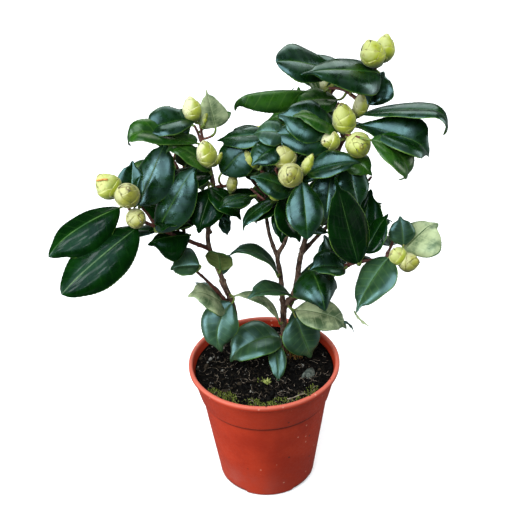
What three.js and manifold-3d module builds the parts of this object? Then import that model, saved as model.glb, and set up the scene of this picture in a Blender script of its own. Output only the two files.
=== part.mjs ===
// A young camellia shrub in a round nursery pot.
// Millimetres, +Z up. The origin is the centre of the pot's flat underside; -Y is the front.
// Two woody stems stand in the soil and fork into boughs. Each bough ends in a mass of foliage,
// a closed uneven solid whose blades reach as far as that spray's leaves and flower buds.

import * as THREE from "three";
import { mergeVertices } from "three/addons/utils/BufferGeometryUtils.js";
import Module from "manifold-3d";

const wasm = await Module();
wasm.setup();

// ---------- driving dimensions ----------

const GAP = 0.35; // between pieces that touch
const MASS_GAP = 0.7; // between neighbouring masses of foliage

const POT = {
  height: 120,
  rimRadius: 65,
  baseRadius: 42.3,
  collarHeight: 30,
  collarFootRadius: 56.6,
  bodyTopRadius: 55,
  lipHeight: 5,
  lipOverhang: 1.8,
  wall: 1.6,
  floor: 2.4,
  edgeRound: 3,
  sides: 28,
};
const DRAIN = { count: 4, firstHeading: -43, width: 24, height: 3.2, inner: 34, outer: 46 };
const SOIL = { top: 112, edgeTop: 111.2, plateauRadius: 46, bottomGap: 0.4 };

const LIMB = { sides: 6, step: 16, flareLength: 5, intoSoil: 4 };
const BLADE = { around: 6, along: 3, thickness: 9, startsInCore: 0.6, tipClearance: 3 };
const CORE = { around: 6, along: 4, unevenness: 0.12 };
const GOLDEN_ANGLE = 137.5;

// ---------- finishes ----------

function finish(color, roughness) {
  return new THREE.MeshStandardMaterial({ color, roughness, metalness: 0 });
}
const terracottaPlastic = finish(0xb8462d, 0.45);
const peatySoil = finish(0x1d1712, 0.95);
const brownBark = finish(0x5a4336, 0.8);
const redBark = finish(0x6b3328, 0.65);
const glossyFoliage = finish(0x1f3d23, 0.3);
const agedFoliage = finish(0x4c6350, 0.5);

// ---------- geometry helpers ----------

const radians = THREE.MathUtils.degToRad;

// A heading is measured from +X towards +Y, and a rise is measured up from level.
function direction(heading, rise) {
  const h = radians(heading);
  const r = radians(rise);
  return new THREE.Vector3(Math.cos(r) * Math.cos(h), Math.cos(r) * Math.sin(h), Math.sin(r));
}

function toSolid(geometry) {
  const bare = geometry.index ? geometry.toNonIndexed() : geometry.clone();
  bare.deleteAttribute("normal");
  bare.deleteAttribute("uv");
  const merged = mergeVertices(bare, 1e-4);
  const index = Array.from(merged.index.array);
  const corners = [];
  for (let i = 0; i < index.length; i += 3) {
    const [a, b, c] = index.slice(i, i + 3);
    if (a !== b && b !== c && c !== a) corners.push(a, b, c);
  }
  const vertProperties = new Float32Array(merged.attributes.position.array);
  const build = (triVerts) =>
    new wasm.Manifold(new wasm.Mesh({ numProp: 3, vertProperties, triVerts: new Uint32Array(triVerts) }));
  const solid = build(corners);
  return solid.volume() > 0 ? solid : build(corners.reverse());
}

function toGeometry(solid) {
  const { vertProperties, triVerts } = solid.getMesh();
  const geometry = new THREE.BufferGeometry();
  geometry.setAttribute("position", new THREE.BufferAttribute(new Float32Array(vertProperties), 3));
  geometry.setIndex(new THREE.BufferAttribute(new Uint32Array(triVerts), 1));
  geometry.computeVertexNormals();
  return geometry;
}

function union(solids) {
  return solids.reduce((whole, next) => whole.add(next));
}

// A cut can free a crumb at a blade's tip: only the largest body is kept.
function largest(solid) {
  return solid.decompose().reduce((best, body) => (body.volume() > best.volume() ? body : best));
}

// A lathe profile runs up the +Z axis as [radius, height] pairs.
function turned(profile, sides) {
  const points = profile.map(([radius, height]) => new THREE.Vector2(radius, height));
  return toSolid(new THREE.LatheGeometry(points, sides).rotateX(Math.PI / 2));
}

// ---------- pot and soil ----------

function bodyRadius(z) {
  const collarFoot = POT.height - POT.collarHeight;
  return THREE.MathUtils.mapLinear(z, 0, collarFoot, POT.baseRadius, POT.bodyTopRadius);
}

function collarRadius(z) {
  const collarFoot = POT.height - POT.collarHeight;
  const underLip = POT.rimRadius - POT.lipOverhang;
  return THREE.MathUtils.mapLinear(z, collarFoot, POT.height, POT.collarFootRadius, underLip);
}

function drainNotch(index) {
  const heading = radians(DRAIN.firstHeading + (index * 360) / DRAIN.count);
  const depth = DRAIN.outer - DRAIN.inner;
  const box = new THREE.BoxGeometry(depth, DRAIN.width, 2 * DRAIN.height);
  box.translate((DRAIN.inner + DRAIN.outer) / 2, 0, 0).rotateZ(heading);
  return toSolid(box);
}

function makePot() {
  const { height, wall, floor, edgeRound, lipHeight, rimRadius } = POT;
  const collarFoot = height - POT.collarHeight;
  const lipFoot = height - lipHeight;
  const lipRound = lipHeight / 3;
  const profile = [
    [0, 0],
    [bodyRadius(0) - edgeRound, 0],
    [bodyRadius(edgeRound) - edgeRound * 0.3, edgeRound * 0.3],
    [bodyRadius(edgeRound), edgeRound],
    [bodyRadius(collarFoot), collarFoot - 1],
    [POT.collarFootRadius, collarFoot],
    [collarRadius(lipFoot), lipFoot],
    [rimRadius - 0.4, lipFoot + lipRound],
    [rimRadius, height - lipRound],
    [rimRadius - 0.8, height - 0.4],
    [rimRadius - 1.8, height],
    [rimRadius - 3, height - 0.6],
    [collarRadius(lipFoot) - wall, lipFoot],
    [collarRadius(collarFoot) - wall, collarFoot + 1],
    [bodyRadius(collarFoot) - wall, collarFoot - wall],
    [bodyRadius(floor) - wall, floor],
    [0, floor],
  ];
  const drains = union(Array.from({ length: DRAIN.count }, (_, i) => drainNotch(i)));
  return turned(profile, POT.sides).subtract(drains);
}

function makeSoil(grow = 0) {
  const collarFoot = POT.height - POT.collarHeight;
  const clear = POT.wall + GAP;
  const bottom = POT.floor + SOIL.bottomGap;
  return turned(
    [
      [0, bottom],
      [bodyRadius(bottom) - clear, bottom],
      [bodyRadius(collarFoot - POT.wall) - clear, collarFoot - POT.wall],
      [collarRadius(collarFoot) - clear - 1, collarFoot + 2],
      [collarRadius(SOIL.edgeTop) - clear, SOIL.edgeTop + grow],
      [SOIL.plateauRadius, SOIL.top + grow],
      [0, SOIL.top + grow],
    ],
    POT.sides,
  );
}

// ---------- stems and boughs ----------

// Each route runs from its foot, on the soil or inside the limb that bears it, to the mass it enters.
const LIMBS = [
  {
    name: "stem_left", from: "soil", foot: 2.6, tip: 1.4, flare: 1.6, bark: brownBark,
    route: [[-24, 20, 112], [-24, 17, 158], [-31, 12, 191], [-42, 8, 235], [-35, 8, 283], [-41, 12, 318]],
  },
  {
    name: "bough_left_side", from: "stem_left", foot: 1.7, tip: 1.1, flare: 0.5, bark: redBark,
    route: [[-30, 14, 173], [-42, 4, 196], [-52, -7, 216]],
  },
  {
    name: "bough_left", from: "stem_left", foot: 1.8, tip: 1.2, flare: 0.5, bark: redBark,
    route: [[-42, 8, 228], [-63, -4, 246], [-83, -18, 266], [-94, -23, 276]],
  },
  {
    name: "bough_back_left", from: "stem_left", foot: 1.8, tip: 1.2, flare: 0.5, bark: brownBark,
    route: [[-41, 8, 245], [-50, 30, 256], [-62, 56, 268]],
  },
  {
    name: "stem_right", from: "soil", foot: 3, tip: 2.7, flare: 1.8, bark: brownBark,
    route: [[19, 24, 112], [18, 21, 138], [18, 15, 168]],
  },
  {
    name: "bough_middle", from: "stem_right", foot: 2.3, tip: 1.4, flare: 0.4, bark: brownBark,
    route: [[18, 16, 164], [16, 9, 199], [14, 4, 221], [21, 0, 241], [25, -12, 285]],
  },
  {
    name: "bough_middle_back", from: "bough_middle", foot: 1.7, tip: 1.2, flare: 0.3, bark: brownBark,
    route: [[14, 4, 220], [7, 12, 241], [6, 34, 262], [14, 58, 272]],
  },
  {
    name: "bough_right", from: "stem_right", foot: 2.6, tip: 1.4, flare: 0.4, bark: brownBark,
    route: [[18, 16, 164], [28, 11, 183], [33, 7, 220], [47, 5, 271], [65, 1, 324], [80, 17, 358]],
  },
  {
    name: "bough_back_right", from: "bough_right", foot: 1.8, tip: 1.2, flare: 0.4, bark: brownBark,
    route: [[33, 7, 222], [52, 24, 232], [76, 50, 240]],
  },
  {
    name: "bough_back_top", from: "bough_right", foot: 1.7, tip: 1.2, flare: 0.4, bark: brownBark,
    route: [[50, 5, 280], [50, 24, 300], [52, 48, 316]],
  },
  {
    name: "bough_low_right", from: "bough_right", foot: 1.6, tip: 1.2, flare: 0.4, bark: redBark,
    route: [[23, 13, 172], [34, 8, 182], [50, -2, 204], [70, -12, 221], [98, -24, 233]],
  },
];

// A turned, tapering rod is bent along its route, ring by ring.
function makeLimb({ route, from, foot, tip, flare }, grow = 0) {
  const points = route.map((p) => new THREE.Vector3(...p));
  if (from === "soil") points[0].z -= LIMB.intoSoil;
  const curve = new THREE.CatmullRomCurve3(points);
  const length = curve.getLength();
  const rings = Math.ceil(length / LIMB.step);
  const frames = curve.computeFrenetFrames(rings);
  const profile = [[0, 0]];
  for (let i = 0; i <= rings; i++) {
    const along = (i / rings) * length;
    const swell = flare * Math.exp(-Math.max(0, along - LIMB.intoSoil) / LIMB.flareLength);
    profile.push([THREE.MathUtils.lerp(foot, tip, i / rings) + swell + grow, i]);
  }
  profile.push([0, rings]);
  const rod = new THREE.LatheGeometry(profile.map(([r, z]) => new THREE.Vector2(r, z)), LIMB.sides);
  const position = rod.attributes.position;
  for (let v = 0; v < position.count; v++) {
    const ring = Math.round(position.getY(v));
    const pastEnd = ring === 0 ? -grow : ring === rings ? grow : 0;
    const place = curve.getPointAt(ring / rings);
    place.addScaledVector(frames.tangents[ring], pastEnd);
    place.addScaledVector(frames.normals[ring], position.getX(v));
    place.addScaledVector(frames.binormals[ring], position.getZ(v));
    position.setXYZ(v, place.x, place.y, place.z);
  }
  return toSolid(rod);
}

// ---------- masses of foliage ----------

// centre: the heart of the spray. core: half sizes of its uneven middle.
// Each blade is [heading, rise, reach from the centre, width, roll, arch, thickness]: arch is how far
// its middle stands above the straight line, and a round bud is a short blade as thick as it is wide.
// ring: [count, first heading, rise, reach, width] more blades, a golden angle apart.
const MASSES = [
  {
    name: "foliage_left", leaf: glossyFoliage, centre: [-98, -24, 278], core: [15, 13, 15],
    blades: [
      [195, -15, 67, 38, -40, 6], [222, -34, 77, 38, -40, 6], [80, 45, 46, 26, 0, 3],
      [170, 52, 37, 26, 0, 0, 24], [277, 74, 24, 26, 0, 0, 22],
    ],
    ring: [2, 110, 5, 44, 28],
  },
  {
    name: "foliage_left_inner", leaf: glossyFoliage, centre: [-70, -4, 268], core: [16, 13, 18],
    blades: [[68, 72, 57, 32, -10, 4], [0, 63, 50, 34, -15, 4], [214, -50, 32, 32, 0, 3]],
    ring: [1, 100, 5, 42, 28],
  },
  {
    name: "foliage_upper_left", leaf: glossyFoliage, centre: [-40, 8, 322], core: [13, 13, 18],
    blades: [
      [188, 17, 46, 32, -40, 6], [191, 0, 55, 32, -30, 8], [14, 31, 32, 26, 0, 6],
      [63, 64, 42, 22, 0, 2], [138, 70, 36, 20, 0, 0, 18], [206, 8, 34, 30, -20, 4], [342, 5, 40, 34, -10, 3],
    ],
    ring: [2, 70, 10, 42, 28],
  },
  {
    name: "foliage_centre", leaf: glossyFoliage, centre: [20, -18, 298], core: [16, 14, 18],
    blades: [
      [289, -30, 50, 32, 0, 5], [207, 32, 34, 28, -45, 3], [345, 21, 56, 28, 30, 4],
      [317, -67, 44, 28, 0, 3], [189, -40, 48, 24, 10, 4], [180, 88, 34, 24, 0, 0, 22],
      [145, 22, 62, 28, -15, 5],
    ],
    ring: [2, 75, 0, 46, 30],
  },
  {
    name: "foliage_top_right", leaf: glossyFoliage, centre: [70, -4, 332], core: [15, 14, 15],
    blades: [
      [174, 16, 56, 40, -55, 5], [186, -2, 60, 32, -40, 4], [3, -5, 70, 30, 12, 14],
      [340, -13, 61, 40, 35, 6],
      [338, -45, 54, 30, 10, 10], [140, 75, 27, 22, 0, 0, 22], [290, -40, 24, 26, 0, 0, 24],
    ],
    ring: [2, 60, 0, 50, 30],
  },
  {
    name: "foliage_top", leaf: glossyFoliage, centre: [82, 20, 364], core: [14, 14, 11],
    blades: [
      [196, 18, 77, 42, -50, 6], [209, 16, 55, 36, -45, 4], [180, -15, 102, 32, -10, 14],
      [39, -8, 28, 32, 0, 0],
      [2, 82, 31, 26, 0, 0, 24], [14, 64, 36, 20, 0, 0, 20],
    ],
    ring: [3, 50, 5, 48, 30],
  },
  {
    name: "foliage_right_top", leaf: glossyFoliage, centre: [62, -14, 294], core: [13, 12, 12],
    blades: [[241, -40, 32, 30, 0, 3], [309, -30, 30, 30, 0, 3], [0, 32, 27, 20, 0, 0]],
    ring: [1, 60, 0, 36, 28],
  },
  {
    name: "foliage_right", leaf: glossyFoliage, centre: [74, -20, 244], core: [13, 12, 17],
    blades: [[157, 79, 58, 38, 0, 4], [13, 39, 38, 30, 0, 3], [150, 5, 28, 28, 0, 2],
      [197, -21, 42, 32, -30, 5]],
    ring: [1, 70, 10, 38, 28],
  },
  {
    name: "foliage_far_right", leaf: glossyFoliage, centre: [106, -28, 238], core: [12, 11, 11],
    blades: [
      [215, -45, 54, 38, 10, 4], [90, 57, 30, 26, 0, 2], [26, 12, 41, 34, -10, 4],
      [262, 62, 20, 20, 0, 0, 18], [334, -12, 26, 22, 0, 0, 20],
    ],
    ring: [2, 50, -5, 42, 28],
  },
  {
    name: "foliage_low_right", leaf: agedFoliage, centre: [30, 3, 174], core: [9, 9, 10],
    blades: [[287, 24, 50, 36, 0, 16], [347, -30, 45, 28, 10, 4], [335, -72, 54, 32, 20, 5]],
    ring: [1, 50, 15, 48, 28],
  },
  {
    name: "foliage_low_left", leaf: agedFoliage, centre: [-30, 8, 174], core: [8, 8, 8],
    blades: [[200, 30, 37, 28, -35, 8], [268, -58, 40, 32, -20, 8]],
    ring: [2, 80, 20, 46, 26],
  },
  {
    name: "foliage_low_front", leaf: agedFoliage, centre: [14, 14, 136], core: [9, 9, 8],
    blades: [[204, -22, 44, 36, -35, 8], [268, -28, 40, 20, 20, 3]],
    ring: [1, 40, 25, 46, 26],
  },
  {
    name: "foliage_middle", leaf: agedFoliage, centre: [13, 4, 200], core: [6, 6, 7],
    blades: [[195, 38, 44, 26, -10, 14], [216, 0, 32, 26, -30, 10]],
    ring: [0, 0, 0, 0, 0],
  },
  {
    name: "foliage_left_side", leaf: agedFoliage, centre: [-53, -8, 219], core: [7, 7, 6],
    blades: [[215, 12, 23, 26, -30, 3], [60, 35, 24, 22, 0, 3]],
    ring: [0, 0, 0, 0, 0],
  },
  {
    name: "foliage_back_left", leaf: glossyFoliage, centre: [-62, 62, 266], core: [15, 15, 16],
    blades: [[110, 55, 40, 30, 0, 4]],
    ring: [5, 85, 0, 50, 32],
  },
  {
    name: "foliage_back_centre", leaf: glossyFoliage, centre: [16, 62, 276], core: [15, 14, 15],
    blades: [[70, 60, 38, 30, 0, 4]],
    ring: [5, 50, 5, 48, 32],
  },
  {
    name: "foliage_back_right", leaf: glossyFoliage, centre: [80, 54, 240], core: [14, 14, 14],
    blades: [[80, 60, 36, 30, 0, 4]],
    ring: [5, 30, -5, 46, 32],
  },
  {
    name: "foliage_back_top", leaf: glossyFoliage, centre: [52, 52, 320], core: [14, 14, 13],
    blades: [[60, 65, 32, 28, 0, 3]],
    ring: [5, 20, 5, 46, 32],
  },
];

// A blade is a flattened ball with one pole inside the core and the other at the leaf's tip. A grown
// blade, used to clear its neighbours, is lengthened more than it is widened, to clear the tapering ends.
function makeBlade(centre, start, row, grow) {
  const [heading, rise, reach, width, roll = 0, arch = 4, thickness = BLADE.thickness] = row;
  const forward = direction(heading, rise);
  const side = direction(heading - 90, 0).applyAxisAngle(forward, radians(roll));
  const upper = side.clone().cross(forward);
  const ball = new THREE.SphereGeometry(1, BLADE.around, BLADE.along);
  const position = ball.attributes.position;
  for (let v = 0; v < position.count; v++) {
    const along = (position.getY(v) + 1) / 2;
    const place = new THREE.Vector3(...centre);
    const beyond = position.getY(v) * grow * BLADE.tipClearance;
    place.addScaledVector(forward, THREE.MathUtils.lerp(start, reach, along) + beyond);
    place.addScaledVector(side, position.getX(v) * (width / 2 + grow));
    place.addScaledVector(upper, position.getZ(v) * (thickness / 2 + grow) + 4 * arch * along * (1 - along));
    position.setXYZ(v, place.x, place.y, place.z);
  }
  return toSolid(ball);
}

function makeCore(centre, core, grow) {
  const ball = new THREE.SphereGeometry(1, CORE.around, CORE.along);
  const position = ball.attributes.position;
  const [cx, cy, cz] = centre;
  for (let v = 0; v < position.count; v++) {
    const [x, y, z] = [position.getX(v), position.getZ(v), position.getY(v)];
    const swell = 1 + CORE.unevenness * Math.sin(4 * x + cx) * Math.cos(4 * y + cy + 3 * z);
    position.setXYZ(v, cx + x * (core[0] * swell + grow), cy + y * (core[1] * swell + grow),
      cz + z * (core[2] * swell + grow));
  }
  return toSolid(ball);
}

function makeMass({ centre, core, blades, ring }, grow = 0) {
  const [count, first, rise, reach, width] = ring;
  const more = Array.from({ length: count }, (_, i) => [
    first + i * GOLDEN_ANGLE, rise + (i % 3) * 18 - 16, reach * (1 - 0.06 * (i % 2)), width,
  ]);
  const start = BLADE.startsInCore * core[2];
  const parts = [...blades, ...more].map((row) => makeBlade(centre, start, row, grow));
  return union([makeCore(centre, core, grow), ...parts]);
}

// ---------- assembly ----------

const plant = new THREE.Group();
plant.name = "potted_camellia";

function place(name, solid, material) {
  const mesh = new THREE.Mesh(toGeometry(solid), material);
  mesh.name = name;
  plant.add(mesh);
}

place("pot", makePot(), terracottaPlastic);
place("soil", makeSoil(), peatySoil);

const soilClearance = makeSoil(GAP);
const limbClearances = [];
for (const limb of LIMBS) {
  const cutter = union([soilClearance, ...limbClearances]);
  place(limb.name, largest(makeLimb(limb).subtract(cutter)), limb.bark);
  limbClearances.push(makeLimb(limb, GAP));
}

let taken = union([soilClearance, ...limbClearances]);
for (const mass of MASSES) {
  place(mass.name, largest(makeMass(mass).subtract(taken)), mass.leaf);
  taken = taken.add(makeMass(mass, MASS_GAP));
}

export default plant;
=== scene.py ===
# %% [markdown]
# # A young camellia in its nursery pot
#
# The plant is a small evergreen shrub. Two woody stems stand in the soil and fork into boughs, and
# each bough ends in a spray of leathery, glossy leaves round a cluster of fat flower buds that
# haven't opened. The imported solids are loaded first, as a fixed frame that nothing here moves.
# Sizes below are in millimetres, as a gardener would measure them, and MM turns them into metres.

# %% Load the frame
import math

import bpy
import numpy as np
from mathutils import Matrix, Vector, noise


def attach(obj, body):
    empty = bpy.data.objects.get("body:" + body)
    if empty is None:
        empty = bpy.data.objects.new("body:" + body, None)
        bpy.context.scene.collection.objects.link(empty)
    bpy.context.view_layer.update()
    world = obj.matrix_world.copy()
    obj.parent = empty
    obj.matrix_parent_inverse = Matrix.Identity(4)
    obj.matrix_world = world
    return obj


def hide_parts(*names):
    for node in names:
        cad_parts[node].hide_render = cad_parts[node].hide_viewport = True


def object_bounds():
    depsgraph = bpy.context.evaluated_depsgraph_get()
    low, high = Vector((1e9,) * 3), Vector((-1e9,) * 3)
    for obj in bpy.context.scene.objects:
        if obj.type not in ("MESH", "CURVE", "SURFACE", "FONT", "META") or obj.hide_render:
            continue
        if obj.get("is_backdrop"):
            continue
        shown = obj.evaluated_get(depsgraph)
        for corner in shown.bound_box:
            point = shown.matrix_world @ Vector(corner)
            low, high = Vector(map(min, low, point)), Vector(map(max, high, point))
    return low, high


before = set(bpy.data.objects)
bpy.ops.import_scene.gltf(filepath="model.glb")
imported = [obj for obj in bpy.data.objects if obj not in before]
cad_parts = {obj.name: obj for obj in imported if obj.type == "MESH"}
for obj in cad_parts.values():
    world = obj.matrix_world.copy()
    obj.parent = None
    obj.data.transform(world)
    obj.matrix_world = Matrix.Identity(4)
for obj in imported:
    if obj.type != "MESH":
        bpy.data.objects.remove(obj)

MM = 0.001
cad_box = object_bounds()
cad_low, cad_high = (np.array(corner) / MM for corner in cad_box)
random = np.random.default_rng(20)
print("frame from", cad_low.round(1), "to", cad_high.round(1))

# %% [markdown]
# ## The camera
#
# The plant is looked at from the front and from above, as a person standing at a potting bench
# sees it. A Blender camera looks along its own -Z, so its matrix is built from the three directions
# that matter: right, up and back. The axes are kept, because a rule further down asks what can be
# seen from here.

# %% Place the camera
CAMERA_AT = np.array([1.0, -675.0, 632.0])
CAMERA_DOWN = math.radians(31.5)
CAMERA_ROLL = math.radians(-1.87)
CAMERA_ANGLE = math.radians(30)

camera_ahead = np.array([0, math.cos(CAMERA_DOWN), -math.sin(CAMERA_DOWN)])
level_up = np.cross([1, 0, 0], camera_ahead)
camera_right = np.array([1, 0, 0]) * math.cos(CAMERA_ROLL) + level_up * math.sin(CAMERA_ROLL)
camera_up = np.cross(camera_right, camera_ahead)

scene = bpy.context.scene
camera = bpy.data.objects.new("bench_camera", bpy.data.cameras.new("bench_camera"))
camera.data.angle = CAMERA_ANGLE
turn = Matrix([camera_right, camera_up, -camera_ahead]).transposed().to_4x4()
camera.matrix_world = Matrix.Translation(CAMERA_AT * MM) @ turn
scene.collection.objects.link(camera)
scene.camera = camera
scene.view_settings.view_transform = "Standard"
print("camera", round(float(np.linalg.norm(CAMERA_AT)), 1), "mm from the foot of the pot")

# %% [markdown]
# ## Light
#
# Glossy leaves show what is round them, so the light decides how they look. A very broad, soft sun
# at the front left stands in for a bright cloud. Three panels then draw the sheen: a cool one on the
# left, a weak, warmer one on the right, and one high up behind, which the tops of the leaves mirror.

# %% Hang the sun and the panels
CLOUD_DIRECTION, CLOUD_ANGLE, CLOUD_STRENGTH = Vector((-260, -500, 850)), 54, 3.5
PANELS_AIM = Vector((0, 0, 230))
PANELS = [
    # name, place, width and height, watts, colour
    ("left_panel", (-1100, -400, 420), (500, 900), 13, (0.9, 0.96, 1.0)),
    ("right_panel", (1000, 100, 500), (300, 700), 3, (1.0, 0.96, 0.9)),
    ("back_panel", (150, 900, 1150), (1200, 800), 8, (1.0, 1.0, 0.92)),
]


def hang_lamp(light, back, place=(0, 0, 0)):
    """Hangs a lamp at a place, with its back towards the direction back."""
    lamp = bpy.data.objects.new(light.name, light)
    facing = back.to_track_quat("Z", "Y").to_matrix().to_4x4()
    lamp.matrix_world = Matrix.Translation(Vector(place) * MM) @ facing
    scene.collection.objects.link(lamp)


bright_cloud = bpy.data.lights.new("bright_cloud", "SUN")
bright_cloud.angle, bright_cloud.energy = math.radians(CLOUD_ANGLE), CLOUD_STRENGTH
bright_cloud.color = (0.90, 0.96, 1.0)
hang_lamp(bright_cloud, CLOUD_DIRECTION)
for name, place, size, watts, colour in PANELS:
    panel = bpy.data.lights.new(name, "AREA")
    panel.shape, panel.size, panel.size_y = "RECTANGLE", size[0] * MM, size[1] * MM
    panel.energy, panel.color = watts, colour
    hang_lamp(panel, Vector(place) - PANELS_AIM, place)
print("one soft sun and", len(PANELS), "panels")

# %% [markdown]
# ## Two helpers for finishes
#
# A finish in Blender is a tree of nodes: boxes whose sockets are joined by links. One helper adds a
# box, sets its inputs and links them, so that a tree can be read line by line. The other takes a
# colour as a paint chart gives it, and turns it into the linear values that Blender works in.

# %% Helpers: a node, and a colour from a paint chart
def make_node(tree, kind, inputs=(), **settings):
    """Adds a shader node. Its inputs are values, or outputs of other nodes to link."""
    made = tree.nodes.new(kind)
    for name, value in settings.items():
        setattr(made, name, value)
    for socket, value in dict(inputs).items():
        if isinstance(value, bpy.types.NodeSocket):
            tree.links.new(value, made.inputs[socket])
        else:
            made.inputs[socket].default_value = value
    return made


def paint(red, green, blue):
    """A colour as a paint chart gives it, 0 to 255, turned into Blender's linear values."""
    chart = [((c / 255 + 0.055) / 1.055) ** 2.4 if c > 10 else c / 3295 for c in (red, green, blue)]
    return (*chart, 1)


print("middle grey is", round(paint(128, 128, 128)[0], 3), "in linear values")

# %% [markdown]
# ## Sky
#
# The sky is brighter overhead than near the ground, which keeps the undersides of the leaves dark.
# A Light Path node tells what kind of ray has come. Light that spreads meets the full sky. A mirrored
# ray meets a far fainter one, so that gloss shows the lamps and not an even haze. The camera itself
# sees a plain white backdrop.

# %% Spread the sky
SKY_NEAR_GROUND, SKY_OVERHEAD, OVERHEAD_FROM = (0.20, 0.21, 0.21, 1), (0.62, 0.74, 0.86, 1), 0.7
SKY_STRENGTH, MIRRORED_STRENGTH = 0.9, 0.03

world = bpy.data.worlds.new("overcast")
world.use_nodes = True
world.node_tree.nodes.clear()
tree = world.node_tree
sky_direction = make_node(tree, "ShaderNodeTexCoord")
height = make_node(tree, "ShaderNodeSeparateXYZ", {"Vector": sky_direction.outputs["Generated"]})
sky_ramp = make_node(tree, "ShaderNodeValToRGB", {"Fac": height.outputs["Z"]})
sky_ramp.color_ramp.elements[0].color = SKY_NEAR_GROUND
sky_ramp.color_ramp.elements[1].color = SKY_OVERHEAD
sky_ramp.color_ramp.elements[1].position = OVERHEAD_FROM
sky_tone = sky_ramp.outputs["Color"]
sky_mirrored = make_node(tree, "ShaderNodeBackground", {"Color": sky_tone, "Strength": MIRRORED_STRENGTH})
sky_glow = make_node(tree, "ShaderNodeBackground", {"Color": sky_tone, "Strength": SKY_STRENGTH})
backdrop = make_node(tree, "ShaderNodeBackground", {"Color": (1, 1, 1, 1), "Strength": 1.0})
sky_ray = make_node(tree, "ShaderNodeLightPath")
all_round = make_node(tree, "ShaderNodeMixShader", {
    0: sky_ray.outputs["Is Glossy Ray"], 1: sky_glow.outputs[0], 2: sky_mirrored.outputs[0]})
sky_mix = make_node(tree, "ShaderNodeMixShader", {
    0: sky_ray.outputs["Is Camera Ray"], 1: all_round.outputs[0], 2: backdrop.outputs[0]})
make_node(tree, "ShaderNodeOutputWorld", {"Surface": sky_mix.outputs[0]})
scene.world = world
print("sky from", SKY_NEAR_GROUND[:3], "up to", SKY_OVERHEAD[:3])

# %% [markdown]
# ## Floor
#
# The floor is one very large square. The camera sees it almost white, with only a soft shadow under
# the pot.

# %% Lay the floor
FLOOR_REACH = 20000
floor_mesh = bpy.data.meshes.new("floor")
floor_corners = [(x * FLOOR_REACH * MM, y * FLOOR_REACH * MM, 0)
                 for x, y in ((-1, -1), (1, -1), (1, 1), (-1, 1))]
floor_mesh.from_pydata(floor_corners, [], [(0, 1, 2, 3)])
floor = bpy.data.objects.new("floor", floor_mesh)
scene.collection.objects.link(floor)
floor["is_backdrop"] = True

floor_paint = bpy.data.materials.new("pale_floor")
floor_paint.use_nodes = True
tree = floor_paint.node_tree
pale_floor = tree.nodes["Principled BSDF"]
pale_floor.inputs["Base Color"].default_value = (0.78, 0.76, 0.74, 1)
pale_floor.inputs["Roughness"].default_value = 0.9
pale_floor.inputs["Emission Color"].default_value = (1, 1, 1, 1)
pale_floor.inputs["Emission Strength"].default_value = 0.3
dull_floor = make_node(tree, "ShaderNodeBsdfDiffuse", {"Color": (0.14, 0.14, 0.13, 1)})
floor_ray = make_node(tree, "ShaderNodeLightPath")
floor_mix = make_node(tree, "ShaderNodeMixShader", {
    0: floor_ray.outputs["Is Camera Ray"], 1: dull_floor.outputs[0], 2: pale_floor.outputs[0]})
tree.links.new(floor_mix.outputs[0], tree.nodes["Material Output"].inputs["Surface"])
floor_mesh.materials.append(floor_paint)
print("floor", 2 * FLOOR_REACH, "mm wide")

# %% [markdown]
# ## Gathering small things into joined meshes
#
# A shrub has thousands of small surfaces, and an object for each would be slow. The arrays of
# corners and faces are gathered with numpy instead and become one mesh for each kind. Every group
# of faces also carries a small map of its own, from 0 to 1 across and along the leaf, scale or twig.
# The same map, shrunk into a cell of its own, gives the mesh a second layout with no overlaps, so
# that a pattern can be baked onto it later.

# %% A gatherer for joined meshes
CELL_MARGIN, CELL_SPAN = 0.03, 0.94


class Gathering:
    """Corners and faces of many small solids, on the way to one mesh."""

    def __init__(self):
        self.corners, self.groups, self.count, self.cells = [], [], 0, 0

    def add(self, corners, groups):
        """groups: (faces, map positions of each face's corners, strip of the cell, finish)."""
        for faces, own, strip, finish in groups:
            self.groups.append((np.asarray(faces) + self.count, own, strip, finish, self.cells))
        self.corners.append(np.asarray(corners, float))
        self.count += len(corners)
        self.cells += 1

    def lay_out(self):
        """The second layout: each solid in its own cell of a square grid of cells."""
        across = math.ceil(math.sqrt(self.cells))
        laid_out = []
        for _, own_map, strip, _, cell in self.groups:
            flat = own_map.reshape(-1, 2).copy()
            flat[:, 0] = strip[0] + flat[:, 0] * (strip[1] - strip[0])
            corner = np.array([cell % across, cell // across])
            laid_out.append((corner + CELL_MARGIN + flat * CELL_SPAN) / across)
        return np.concatenate(laid_out)

    def build(self, name, finishes, slot, nodes=()):
        """Makes the mesh, and ties it to the frame as a stand-in for the nodes that it replaces."""
        mesh = bpy.data.meshes.new(name)
        mesh.vertices.add(self.count)
        mesh.vertices.foreach_set("co", (np.concatenate(self.corners) * MM).ravel())
        corner_list = np.concatenate([g[0].ravel() for g in self.groups])
        sizes = np.concatenate([np.full(len(g[0]), g[0].shape[1]) for g in self.groups])
        mesh.loops.add(len(corner_list))
        mesh.loops.foreach_set("vertex_index", corner_list)
        mesh.polygons.add(len(sizes))
        mesh.polygons.foreach_set("loop_start", np.cumsum(sizes) - sizes)
        marks = [np.broadcast_to(finish, len(faces)) for faces, _, _, finish, _ in self.groups]
        mesh.polygons.foreach_set("material_index", np.concatenate(marks))
        mesh.polygons.foreach_set("use_smooth", np.ones(len(sizes), bool))
        own = np.concatenate([g[1].reshape(-1, 2) for g in self.groups])
        for layer, places in (("OFBake", self.lay_out()), ("own", own)):
            mesh.uv_layers.new(name=layer).data.foreach_set("uv", places.ravel())
        for finish in finishes:
            mesh.materials.append(finish)
        mesh.update(calc_edges=True)
        mesh.validate()
        piece = bpy.data.objects.new(name, mesh)
        scene.collection.objects.link(piece)
        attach(piece, "root")
        if nodes:
            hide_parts(*nodes)
        print(name, len(mesh.loops) - 2 * len(mesh.polygons), "triangles")


print("each solid's map keeps", CELL_MARGIN, "of a cell clear on every side")

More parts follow.
